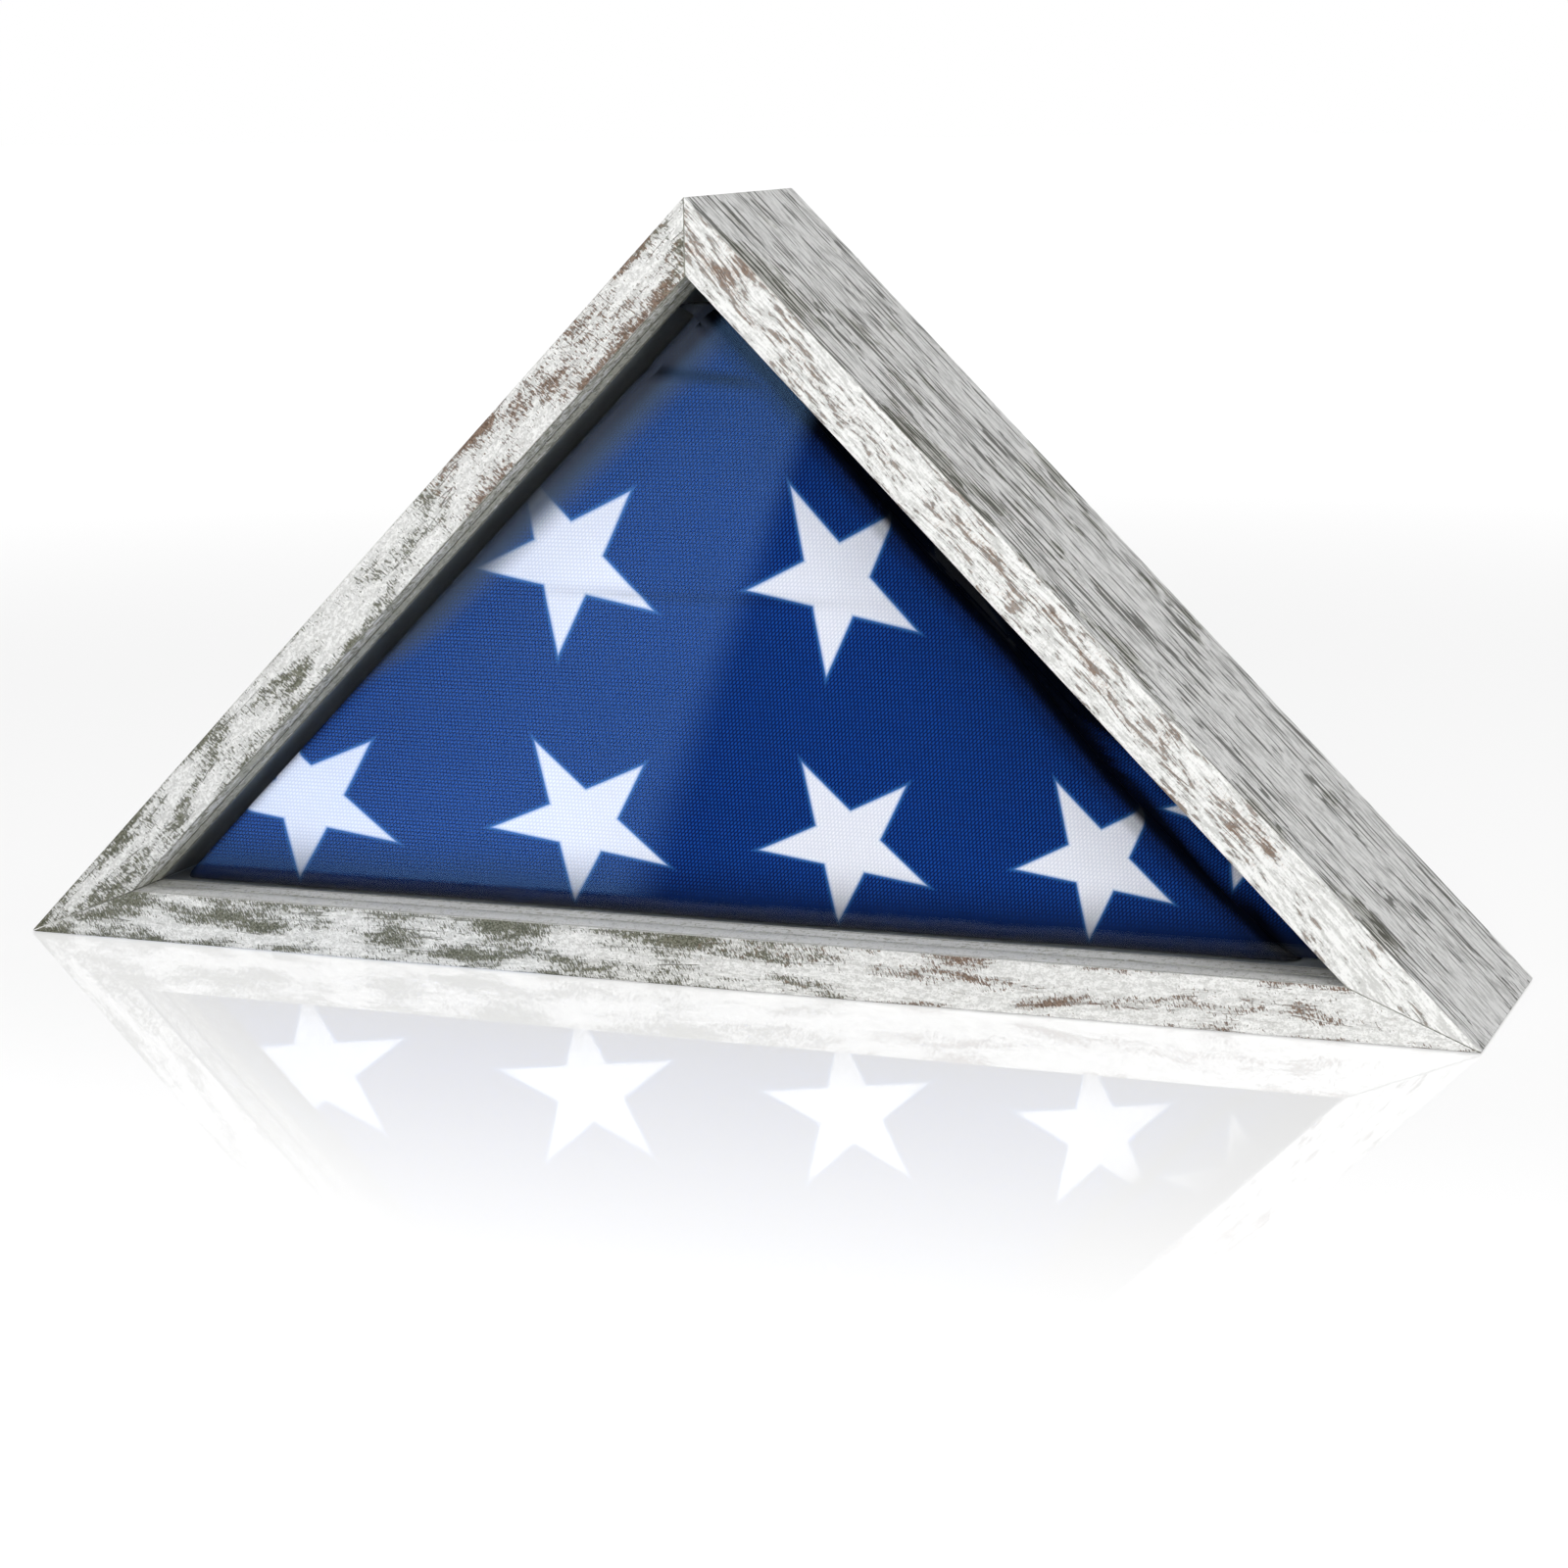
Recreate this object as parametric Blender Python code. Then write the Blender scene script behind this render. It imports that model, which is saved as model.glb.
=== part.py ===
"""Folded flag display case: a mitred right-angled shadow box that stands on its long side.

Metres, +Z up.  The origin is the middle of the resting face, +X runs along the long side,
+Y points to the back.  Front to back the case holds a pane, three retaining strips, the
folded flag and a back panel, which six turn buttons keep in.
"""
import math

import bmesh
import bpy
from mathutils import Matrix, Vector

MM = 0.001
GAP = 0.3 * MM                    # between faces that touch on the real object

# Outer size of the wooden frame
BASE = 420.0 * MM                 # long side
FRAME_DEPTH = 78.0 * MM           # front face to rear edge
BUMPER_HEIGHT = 5.0 * MM          # how far the bumpers stand behind the rear edge
LEG = BASE / math.sqrt(2.0)       # the two short sides meet at a right angle
BASE_HALF_ANGLE = math.radians(22.5)
APEX_HALF_ANGLE = math.radians(45.0)

# Moulding section: w runs from the outer face inwards, y from front to back
FACE_WIDTH = 14.3 * MM            # width seen from the front
WALL = 10.3 * MM                  # thickness behind the rebate
LIP_DEPTH = 18.5 * MM             # front face to the pane
EASED_EDGE = 0.4 * MM
QUIRK_WIDTH = 1.5 * MM            # shadow line behind the sight edge
QUIRK_DEPTH = 1.3 * MM
BEAD_WIDTH = 7.6 * MM
BEAD_RISE = 0.35 * MM
STEP_BACK = 0.4 * MM              # the inner band lies this much behind the bead
SECOND_QUIRK_WIDTH = 1.0 * MM
SECOND_QUIRK_DEPTH = 0.9 * MM
BEAD_STEPS = 6

# Places along Y
FRONT_Y = -(FRAME_DEPTH + BUMPER_HEIGHT) / 2.0
REAR_Y = FRONT_Y + FRAME_DEPTH
PANE_THICKNESS = 2.0 * MM
PANE_Y = FRONT_Y + LIP_DEPTH + GAP
PANEL_THICKNESS = 5.5 * MM
PANEL_RECESS = 0.5 * MM
PANEL_Y = REAR_Y - PANEL_RECESS - PANEL_THICKNESS
STRIP_Y = PANE_Y + PANE_THICKNESS + GAP
STRIP_DEPTH = PANEL_Y - GAP - STRIP_Y
STRIP_OUTER = WALL + GAP
STRIP_INNER = STRIP_OUTER + 1.5 * MM

# Pane and panel outlines
PANE_INSET = WALL + 0.6 * MM
PANEL_INSET = WALL + 0.5 * MM
TIP_CLIP = 5.0 * MM               # blunt end at each 45 degree corner

# Flag
FLAG_INSET = STRIP_INNER + 0.5 * MM
FLAG_FRONT_Y = PANE_Y + PANE_THICKNESS + 1.6 * MM
FLAG_BACK_Y = PANEL_Y - 1.0 * MM
FLAG_LAYER = 6.0 * MM             # thickness of the front fold
FLAG_LAYER_STEP = 12.0 * MM       # the front fold stops this much short on the right
FLAG_LAYER_RAISE = 0.2 * MM       # and lies this much higher than the rest of the packet
FLAG_LAYER_OVERLAP = 2.0 * MM     # so that the two join into one solid
FLAG_CORNER = 6.0 * MM

# Turn buttons and their screws
BUTTON_LENGTH = 16.0 * MM         # pivot to tip
BUTTON_RADIUS = 4.2 * MM
BUTTON_TIP_RADIUS = 3.0 * MM
BUTTON_THICKNESS = 1.2 * MM
BUTTON_HOLE = 1.9 * MM
SCREW_HEAD_RADIUS = 2.8 * MM
SCREW_HEAD_HEIGHT = 1.5 * MM
SCREW_SHANK = 1.4 * MM
SCREW_LENGTH = 10.0 * MM
SCREW_POINT = 2.0 * MM            # length of the tapered end
SCREW_RIM = 0.35                  # share of the head's height below its dome
SCREW_DOME_ANGLES = (0.0, 25.0, 50.0, 72.0)
HANGER_SCREW_LENGTH = 5.0 * MM
HANGER_HOLE_DEPTH = 4.5 * MM
DRIVE_LENGTH = 3.2 * MM
DRIVE_WIDTH = 0.6 * MM
DRIVE_DEPTH = 0.8 * MM

# Fixings inside the frame
V_NAIL_LEG = 4.5 * MM
V_NAIL_THICKNESS = 0.6 * MM
V_NAIL_DEPTH = 10.0 * MM
V_NAIL_SPREAD = math.radians(40.0)    # each leg's angle to the mitre
V_NAIL_DISTANCES = (11.0 * MM, 19.0 * MM)  # from a base corner, along its mitre
V_NAIL_APEX_DISTANCE = 8.5 * MM
BRAD_RADIUS = 0.6 * MM
BRAD_HEAD_RADIUS = 1.1 * MM
BRAD_HEAD_HEIGHT = 0.5 * MM
BRAD_LENGTH = 10.0 * MM
BUMPER_RADIUS = 4.2 * MM
BUMPER_SHAPE = ((1.0, 0.55), (0.92, 0.85), (0.78, 1.0))    # shares of radius and height

# Hangers
HANGER_X = 60.0 * MM
HANGER_Z = 104.0 * MM             # height of the ring's axis
STRAP_WIDTH = 8.0 * MM
STRAP_THICKNESS = 0.9 * MM
STRAP_LENGTH = 23.0 * MM
STRAP_HOLE = 1.75 * MM
KNUCKLE_RADIUS = 1.3 * MM         # inner radius of the curled end
RING_WIRE = 1.0 * MM              # wire radius
RING_WIDTH = 13.0 * MM            # centreline to centreline
RING_LENGTH = 12.0 * MM
RING_CORNER = 1.6 * MM
RING_SIDES = 10
HANGER_SCREW_OFFSETS = (6.2 * MM, 18.0 * MM)

SIDES = {
    # name: (corner it starts at as x, z; turn about Y; length; half angles at start and end)
    "bottom_rail": ((-BASE / 2.0, 0.0), 0.0, BASE, BASE_HALF_ANGLE, BASE_HALF_ANGLE),
    "right_leg": ((BASE / 2.0, 0.0), math.radians(-135.0), LEG, BASE_HALF_ANGLE, APEX_HALF_ANGLE),
    "left_leg": ((0.0, BASE / 2.0), math.radians(135.0), LEG, APEX_HALF_ANGLE, BASE_HALF_ANGLE),
}
BUTTON_PLACES = {"bottom_rail": (0.30, 0.70), "right_leg": (0.30, 0.72), "left_leg": (0.28, 0.70)}
BUMPER_PLACES = {"bottom_rail": (0.10, 0.90), "right_leg": (0.91,), "left_leg": (0.09,)}
BRAD_PLACES = (0.25, 0.75)


def clear_scene():
    for old in list(bpy.data.objects):
        bpy.data.objects.remove(old, do_unlink=True)


def material(name, colour, roughness, metallic=0.0, alpha=1.0):
    mat = bpy.data.materials.new(name)
    mat.use_nodes = True
    shader = mat.node_tree.nodes["Principled BSDF"]
    shader.inputs["Base Color"].default_value = (*colour, 1.0)
    shader.inputs["Roughness"].default_value = roughness
    shader.inputs["Metallic"].default_value = metallic
    shader.inputs["Alpha"].default_value = alpha
    return mat


def finished_mesh(bm, name):
    """Turn a bmesh into a mesh whose faces all point outwards."""
    bmesh.ops.remove_doubles(bm, verts=bm.verts, dist=1e-6)
    bmesh.ops.recalc_face_normals(bm, faces=bm.faces)
    mesh = bpy.data.meshes.new(name)
    bm.to_mesh(mesh)
    bm.free()
    return mesh


def place(name, mesh, mat, parent=None, location=(0.0, 0.0, 0.0), turn_y=0.0):
    obj = bpy.data.objects.new(name, mesh)
    bpy.context.scene.collection.objects.link(obj)
    if not mesh.materials:
        mesh.materials.append(mat)
    obj.parent = parent
    obj.location = location
    obj.rotation_euler = (0.0, turn_y, 0.0)
    return obj


def carve(mesh, cutters, name, operation="DIFFERENCE"):
    """Cut closed meshes out of a mesh, or join them to it, and give the resulting mesh."""
    solid = bpy.data.objects.new("solid", mesh)
    bpy.context.scene.collection.objects.link(solid)
    tools = []
    for cutter in cutters:
        tool = bpy.data.objects.new("tool", cutter)
        bpy.context.scene.collection.objects.link(tool)
        tools.append(tool)
        cut = solid.modifiers.new("cut", "BOOLEAN")
        cut.operation = operation
        cut.object = tool
    graph = bpy.context.evaluated_depsgraph_get()
    result = bpy.data.meshes.new_from_object(solid.evaluated_get(graph))
    result.name = name
    for obj in [solid, *tools]:
        bpy.data.objects.remove(obj, do_unlink=True)
    return result


def shade_round(mesh, angle=math.radians(35.0)):
    mesh.shade_smooth()
    mesh.set_sharp_from_angle(angle=angle)
    return mesh


def extruded(outline, low, high, name):
    """A prism: outline in the XZ plane, from low to high along Y."""
    bm = bmesh.new()
    front = bm.faces.new([bm.verts.new((x, low, z)) for x, z in outline])
    made = bmesh.ops.extrude_face_region(bm, geom=[front])
    moved = [v for v in made["geom"] if isinstance(v, bmesh.types.BMVert)]
    bmesh.ops.translate(bm, verts=moved, vec=(0.0, high - low, 0.0))
    return finished_mesh(bm, name)


def turned(profile, name, axis="Y", segments=16, at=(0.0, 0.0, 0.0)):
    """A solid of revolution from (radius, height) points that start and end on the axis."""
    bm = bmesh.new()
    verts = [bm.verts.new((radius, 0.0, height)) for radius, height in profile]
    edges = [bm.edges.new(pair) for pair in zip(verts, verts[1:])]
    bmesh.ops.spin(bm, geom=verts + edges, cent=(0, 0, 0), axis=(0, 0, 1),
                   angle=math.tau, steps=segments, use_merge=True, use_duplicate=False)
    if axis == "Y":
        bmesh.ops.rotate(bm, verts=bm.verts, matrix=Matrix.Rotation(-math.pi / 2, 3, "X"))
    bmesh.ops.translate(bm, verts=bm.verts, vec=at)
    return finished_mesh(bm, name)


def arc(centre, radius, start, end, steps):
    """Points on an arc in a plane, from angle start to angle end in degrees."""
    angles = [math.radians(start + (end - start) * i / steps) for i in range(steps + 1)]
    return [(centre[0] + radius * math.cos(a), centre[1] + radius * math.sin(a)) for a in angles]


def rounded_outline(corners, radii, steps=6):
    """A closed outline with a round of the given radius at each corner."""
    points = []
    for i, corner in enumerate(corners):
        here = Vector(corner)
        before = (Vector(corners[i - 1]) - here).normalized()
        after = (Vector(corners[(i + 1) % len(corners)]) - here).normalized()
        half = before.angle(after) / 2.0
        centre = here + (before + after).normalized() * radii[i] / math.sin(half)
        first = here + before * radii[i] / math.tan(half) - centre
        turn = math.atan2(first.x * after.y - first.y * after.x, first.dot(after))
        sweep = math.copysign(math.pi - 2.0 * half, turn)
        for k in range(steps + 1):
            a = sweep * k / steps
            x = first.x * math.cos(a) - first.y * math.sin(a)
            z = first.x * math.sin(a) + first.y * math.cos(a)
            points.append((centre.x + x, centre.y + z))
    return points


def triangle(inset):
    """The case's outline moved inwards, as its left, right and top corners."""
    reach = BASE / 2.0 - inset / math.tan(BASE_HALF_ANGLE)
    return [(-reach, inset), (reach, inset), (0.0, BASE / 2.0 - inset / math.sin(APEX_HALF_ANGLE))]


def clipped_triangle(inset, clip):
    """The inset triangle with both sharp corners cut off upright."""
    left, right, top = triangle(inset)
    return [(left[0] + clip, left[1]), (right[0] - clip, right[1]),
            (right[0] - clip, right[1] + clip), top, (left[0] + clip, left[1] + clip)]


def side_frame(name):
    """An empty at a side's first corner: X along the side, Y to the back, Z inwards."""
    (x, z), turn, _, _, _ = SIDES[name]
    empty = bpy.data.objects.new(f"{name}_frame", None)
    bpy.context.scene.collection.objects.link(empty)
    empty.location = (x, 0.0, z)
    empty.rotation_euler = (0.0, turn, 0.0)
    return empty


def mitred_bar(side, section, name):
    """A bar along a side, with a section of (w, y) points and mitred ends."""
    _, _, length, start, end = SIDES[side]
    bm = bmesh.new()
    first, last = [], []
    for w, y in section:
        near = w / math.tan(start) + GAP / 2.0 / math.sin(start)
        far = length - w / math.tan(end) - GAP / 2.0 / math.sin(end)
        first.append(bm.verts.new((near, y, w)))
        last.append(bm.verts.new((far, y, w)))
    bm.faces.new(first)
    bm.faces.new(last[::-1])
    for i in range(len(section)):
        k = (i + 1) % len(section)
        bm.faces.new((first[i], last[i], last[k], first[k]))
    return finished_mesh(bm, name)


def moulding_section():
    """The deep shadow-box section, from the outer front edge round to the rear edge."""
    e = EASED_EDGE
    y = FRONT_Y
    points = arc((e, y + e), e, 180.0, 270.0, 3)
    points += arc((FACE_WIDTH - e, y + e), e, 270.0, 360.0, 3)
    floor = FACE_WIDTH - QUIRK_DEPTH
    y += 2.0 * e
    points += [(floor, y), (floor, y + QUIRK_WIDTH)]
    y += QUIRK_WIDTH
    for i in range(BEAD_STEPS + 1):
        share = i / BEAD_STEPS
        rise = BEAD_RISE * math.sin(math.pi * share)
        points.append((FACE_WIDTH - BEAD_RISE + rise, y + BEAD_WIDTH * share))
    y += BEAD_WIDTH
    floor = FACE_WIDTH - STEP_BACK - SECOND_QUIRK_DEPTH
    points += [(floor, y), (floor, y + SECOND_QUIRK_WIDTH)]
    points.append((FACE_WIDTH - STEP_BACK, y + SECOND_QUIRK_WIDTH))
    points.append((FACE_WIDTH - STEP_BACK, FRONT_Y + LIP_DEPTH))
    points.append((WALL, FRONT_Y + LIP_DEPTH))
    points += arc((WALL - e, REAR_Y - e), e, 0.0, 90.0, 2)
    points += arc((e, REAR_Y - e), e, 90.0, 180.0, 2)
    return points


def hole(radius, depth, at):
    """A cutter for a blind hole that opens towards +Y at the given point."""
    profile = [(0.0, -depth), (radius, -depth), (radius, MM), (0.0, MM)]
    return turned(profile, "hole", "Y", 16, at)


def sideways_hole(at):
    """A cutter for a brad's hole, which runs from the inner face towards the outer one."""
    bottom = -(BRAD_LENGTH + GAP)
    shaft = BRAD_RADIUS + GAP
    head = BRAD_HEAD_RADIUS + GAP
    shoulder = -(BRAD_HEAD_HEIGHT + GAP)
    profile = [(0.0, bottom), (shaft, bottom), (shaft, shoulder), (head, shoulder),
               (head, MM), (0.0, MM)]
    return turned(profile, "brad_hole", "Z", 12, at)


def v_nail_places():
    """Each V nail's place in the XZ plane, and the direction of its mitre inwards."""
    places = []
    for sign in (-1.0, 1.0):
        corner = Vector((sign * BASE / 2.0, 0.0))
        inward = Vector((-sign * math.cos(BASE_HALF_ANGLE), math.sin(BASE_HALF_ANGLE)))
        for distance in V_NAIL_DISTANCES:
            places.append((corner + inward * distance, inward))
    apex = Vector((0.0, BASE / 2.0))
    down = Vector((0.0, -1.0))
    places.append((apex + down * V_NAIL_APEX_DISTANCE, down))
    return places


def v_nail_mesh(at, inward, extra, name):
    """A V of sheet steel: its point is on the mitre, and each bar takes one of its two legs."""
    half = V_NAIL_THICKNESS / 2.0 + extra
    long = V_NAIL_LEG + extra
    run = Vector((math.cos(V_NAIL_SPREAD), math.sin(V_NAIL_SPREAD)))
    side = Vector((-run.y, run.x)) * half
    tip = half / run.y
    inner, outer = run * long - side, run * long + side
    shape = [(tip, 0.0), inner, outer, (-tip, 0.0), (outer.x, -outer.y), (inner.x, -inner.y)]
    across = Vector((-inward.y, inward.x))
    points = [at + inward * x + across * y for x, y in shape]
    bottom = REAR_Y - V_NAIL_DEPTH - extra
    top = REAR_Y + extra - GAP
    return extruded([tuple(p) for p in points], bottom, top + 2.0 * extra, name)


def screw_mesh(length, name):
    """A pan-head wood screw: head above height 0, shank below it, and a cross drive."""
    head, high = SCREW_HEAD_RADIUS, SCREW_HEAD_HEIGHT
    rim = SCREW_RIM * high
    dome = [(head * math.cos(a), rim + (high - rim) * math.sin(a))
            for a in [math.radians(d) for d in SCREW_DOME_ANGLES]]
    profile = [(0.0, -length), (SCREW_SHANK, -length + SCREW_POINT), (SCREW_SHANK, 0.0),
               (head, 0.0), *dome, (0.0, high)]
    body = turned(profile, "screw_body", "Y", 16)
    half = DRIVE_LENGTH / 2.0
    thin = DRIVE_WIDTH / 2.0
    cross = [(-half, -thin), (-thin, -thin), (-thin, -half), (thin, -half), (thin, -thin),
             (half, -thin), (half, thin), (thin, thin), (thin, half), (-thin, half),
             (-thin, thin), (-half, thin)]
    drive = extruded(cross, high - DRIVE_DEPTH, high + MM, "drive")
    return shade_round(carve(body, [drive], name))


def make_frame(rigs, wood):
    """The three mitred bars, with holes for their screws, brads and V nails."""
    nails = [v_nail_mesh(at, inward, GAP, "v_slot") for at, inward in v_nail_places()]
    for side, rig in rigs.items():
        length = SIDES[side][2]
        bar = mitred_bar(side, moulding_section(), f"frame_{side}")
        cutters = [hole(SCREW_SHANK + GAP, SCREW_LENGTH, (length * t, REAR_Y, WALL / 2.0))
                   for t in BUTTON_PLACES[side]]
        cutters += [sideways_hole((length * t, brad_y(), STRIP_INNER - GAP)) for t in BRAD_PLACES]
        to_side = rig_matrix(side).inverted()
        for nail in nails:
            local = nail.copy()
            local.transform(to_side)
            if 0.0 < sum(v.co.z for v in local.vertices) / len(local.vertices) < 2.0 * WALL:
                cutters.append(local)
        place(f"frame_{side}", carve(bar, cutters, f"frame_{side}"), wood, rig)


def rig_matrix(side):
    (x, z), turn, _, _, _ = SIDES[side]
    return Matrix.Translation((x, 0.0, z)) @ Matrix.Rotation(turn, 4, "Y")


def brad_y():
    return STRIP_Y + STRIP_DEPTH / 2.0


def make_strips(rigs, black, steel):
    """The strips that hold the pane, each with its two brads."""
    back = STRIP_Y + STRIP_DEPTH
    section = [(STRIP_OUTER, STRIP_Y), (STRIP_INNER, STRIP_Y), (STRIP_INNER, back),
               (STRIP_OUTER, back)]
    profile = [(0.0, -BRAD_LENGTH), (BRAD_RADIUS, -BRAD_LENGTH + MM),
               (BRAD_RADIUS, -BRAD_HEAD_HEIGHT), (BRAD_HEAD_RADIUS, -BRAD_HEAD_HEIGHT),
               (BRAD_HEAD_RADIUS, 0.0), (0.0, 0.0)]
    brad = shade_round(turned(profile, "brad", "Z", 12))
    for side, rig in rigs.items():
        length = SIDES[side][2]
        bar = mitred_bar(side, section, f"strip_{side}")
        places = [(length * t, brad_y(), STRIP_INNER - GAP) for t in BRAD_PLACES]
        cut = carve(bar, [sideways_hole(at) for at in places], f"strip_{side}")
        place(f"retaining_strip_{side}", cut, black, rig)
        for number, at in enumerate(places, 1):
            place(f"strip_brad_{side}_{number}", brad, steel, rig, at)


def make_v_nails(steel):
    names = ("left_outer", "left_inner", "right_outer", "right_inner", "apex")
    for name, (at, inward) in zip(names, v_nail_places()):
        place(f"v_nail_{name}", v_nail_mesh(at, inward, 0.0, f"v_nail_{name}"), steel)


def make_pane(glass):
    outline = clipped_triangle(PANE_INSET, TIP_CLIP)
    place("glass_pane", extruded(outline, PANE_Y, PANE_Y + PANE_THICKNESS, "glass_pane"), glass)


def make_panel(board):
    outline = clipped_triangle(PANEL_INSET, TIP_CLIP)
    slab = extruded(outline, PANEL_Y, PANEL_Y + PANEL_THICKNESS, "slab")
    back = PANEL_Y + PANEL_THICKNESS
    cutters = [hole(SCREW_SHANK + GAP, HANGER_HOLE_DEPTH, (x, back, HANGER_Z - down))
               for x in (-HANGER_X, HANGER_X) for down in HANGER_SCREW_OFFSETS]
    place("back_panel", carve(slab, cutters, "back_panel"), board)


def make_flag(cloth):
    """The folded flag as one plain packet, its front fold shorter on the right."""
    corners = triangle(FLAG_INSET)
    radii = (FLAG_CORNER, FLAG_CORNER, 2.0 * FLAG_CORNER)
    step_y = FLAG_FRONT_Y + FLAG_LAYER
    packet = extruded(rounded_outline(corners, radii), step_y, FLAG_BACK_Y, "packet")
    shift = FLAG_LAYER_STEP * math.sqrt(2.0)
    left, right, top = corners
    front = [left, (right[0] - shift, right[1]), (top[0] - shift / 2.0, top[1] - shift / 2.0)]
    raised = [(x, z + FLAG_LAYER_RAISE) for x, z in front]
    end_y = step_y + FLAG_LAYER_OVERLAP
    fold = extruded(rounded_outline(raised, radii), FLAG_FRONT_Y, end_y, "fold")
    place("folded_flag", carve(packet, [fold], "folded_flag", "UNION"), cloth)


def button_outline():
    """Round at the pivot, narrower and round at the tip, which points along +Z."""
    wide, thin = BUTTON_RADIUS, BUTTON_TIP_RADIUS
    tip = BUTTON_LENGTH - thin
    lean = math.degrees(math.asin((wide - thin) / tip))
    return (arc((0.0, 0.0), wide, 180.0 - lean, 360.0 + lean, 12)
            + arc((0.0, tip), thin, lean, 180.0 - lean, 8))


def make_turn_buttons(rigs, brass, steel):
    base = REAR_Y + GAP
    plate = extruded(button_outline(), 0.0, BUTTON_THICKNESS, "plate")
    bore = hole(BUTTON_HOLE, BUTTON_THICKNESS + MM, (0.0, BUTTON_THICKNESS, 0.0))
    button = shade_round(carve(plate, [bore], "turn_button"))
    screw = screw_mesh(SCREW_LENGTH, "turn_button_screw")
    head = base + BUTTON_THICKNESS + GAP
    for side, rig in rigs.items():
        for number, t in enumerate(BUTTON_PLACES[side], 1):
            along = SIDES[side][2] * t
            place(f"turn_button_{side}_{number}", button, brass, rig, (along, base, WALL / 2.0))
            place(f"turn_button_screw_{side}_{number}", screw, steel, rig,
                  (along, head, WALL / 2.0))


def make_bumpers(rigs, rubber):
    r = BUMPER_RADIUS
    high = BUMPER_HEIGHT
    side = [(r * wide, high * up) for wide, up in BUMPER_SHAPE]
    profile = [(0.0, GAP), (r, GAP), *side, (0.0, high)]
    bumper = shade_round(turned(profile, "bumper", "Y", 20))
    for side, rig in rigs.items():
        for number, t in enumerate(BUMPER_PLACES[side], 1):
            along = SIDES[side][2] * t
            place(f"bumper_{side}_{number}", bumper, rubber, rig, (along, REAR_Y, WALL / 2.0))


def strap_mesh():
    """A flat strap with its upper end curled round the ring's straight bar."""
    inner = KNUCKLE_RADIUS
    outer = inner + STRAP_THICKNESS
    curl = arc((0.0, 0.0), outer, -90.0, 200.0, 16)
    curl += arc((0.0, 0.0), inner, 200.0, -90.0, 16)
    side = [(-STRAP_LENGTH, -outer), *curl, (-STRAP_LENGTH, -inner)]
    bm = bmesh.new()
    half = STRAP_WIDTH / 2.0
    rings = [[bm.verts.new((x, y, z)) for z, y in side] for x in (-half, half)]
    bm.faces.new(rings[0])
    bm.faces.new(rings[1][::-1])
    for i in range(len(side)):
        k = (i + 1) % len(side)
        bm.faces.new((rings[0][i], rings[0][k], rings[1][k], rings[1][i]))
    body = finished_mesh(bm, "strap_body")
    holes = [turned([(0.0, -outer - MM), (STRAP_HOLE, -outer - MM), (STRAP_HOLE, MM - inner),
                     (0.0, MM - inner)], "strap_hole", "Y", 16, (0.0, 0.0, -down))
             for down in HANGER_SCREW_OFFSETS]
    return shade_round(carve(body, holes, "hanger_strap"))


def ring_mesh():
    """A D ring of round wire, hanging below its straight bar."""
    half = RING_WIDTH / 2.0
    turn = RING_CORNER
    low = RING_LENGTH - half
    path = [(-half + turn, 0.0), (0.0, 0.0), (half - turn, 0.0)]
    path += arc((half - turn, -turn), turn, 60.0, 0.0, 2)
    path += arc((0.0, -low), half, 0.0, -180.0, 14)
    path += arc((-half + turn, -turn), turn, 180.0, 120.0, 2)
    bm = bmesh.new()
    rings = []
    for i, point in enumerate(path):
        ahead = Vector(path[(i + 1) % len(path)]) - Vector(path[i - 1])
        out = Vector((ahead.y, -ahead.x)).normalized()
        ring = []
        for k in range(RING_SIDES):
            a = math.tau * k / RING_SIDES
            reach = RING_WIRE * math.cos(a)
            ring.append(bm.verts.new((point[0] + out.x * reach, RING_WIRE * math.sin(a),
                                      point[1] + out.y * reach)))
        rings.append(ring)
    for i, ring in enumerate(rings):
        nearby = rings[(i + 1) % len(rings)]
        for k in range(RING_SIDES):
            n = (k + 1) % RING_SIDES
            bm.faces.new((ring[k], ring[n], nearby[n], nearby[k]))
    return shade_round(finished_mesh(bm, "hanger_ring"))


def make_hangers(steel):
    """Two strap hangers on the back panel, each with a swinging D ring."""
    surface = PANEL_Y + PANEL_THICKNESS + GAP
    axis_y = surface + STRAP_THICKNESS + KNUCKLE_RADIUS
    strap = strap_mesh()
    ring = ring_mesh()
    screw = screw_mesh(HANGER_SCREW_LENGTH, "hanger_screw")
    for side, x in (("left", -HANGER_X), ("right", HANGER_X)):
        place(f"hanger_strap_{side}", strap, steel, None, (x, axis_y, HANGER_Z))
        place(f"hanger_ring_{side}", ring, steel, None, (x, axis_y, HANGER_Z))
        for number, down in enumerate(HANGER_SCREW_OFFSETS, 1):
            place(f"hanger_screw_{side}_{number}", screw, steel, None,
                  (x, surface + STRAP_THICKNESS + GAP, HANGER_Z - down))


def build():
    clear_scene()
    wood = material("whitewashed_wood", (0.78, 0.77, 0.73), 0.7)
    black = material("charcoal_strip", (0.02, 0.021, 0.025), 0.85)
    board = material("fibreboard", (0.23, 0.15, 0.09), 0.8)
    glass = material("glass", (0.95, 0.98, 0.97), 0.02, 0.0, 0.25)
    cloth = material("flag_cloth", (0.015, 0.06, 0.26), 0.75)
    brass = material("turn_button_metal", (0.62, 0.60, 0.55), 0.35, 1.0)
    steel = material("zinc_steel", (0.60, 0.60, 0.60), 0.3, 1.0)
    rubber = material("bumper_rubber", (0.03, 0.03, 0.03), 0.9)
    rigs = {side: side_frame(side) for side in SIDES}
    make_frame(rigs, wood)
    make_v_nails(steel)
    make_pane(glass)
    make_strips(rigs, black, steel)
    make_flag(cloth)
    make_panel(board)
    make_turn_buttons(rigs, brass, steel)
    make_bumpers(rigs, rubber)
    make_hangers(steel)


build()
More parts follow.
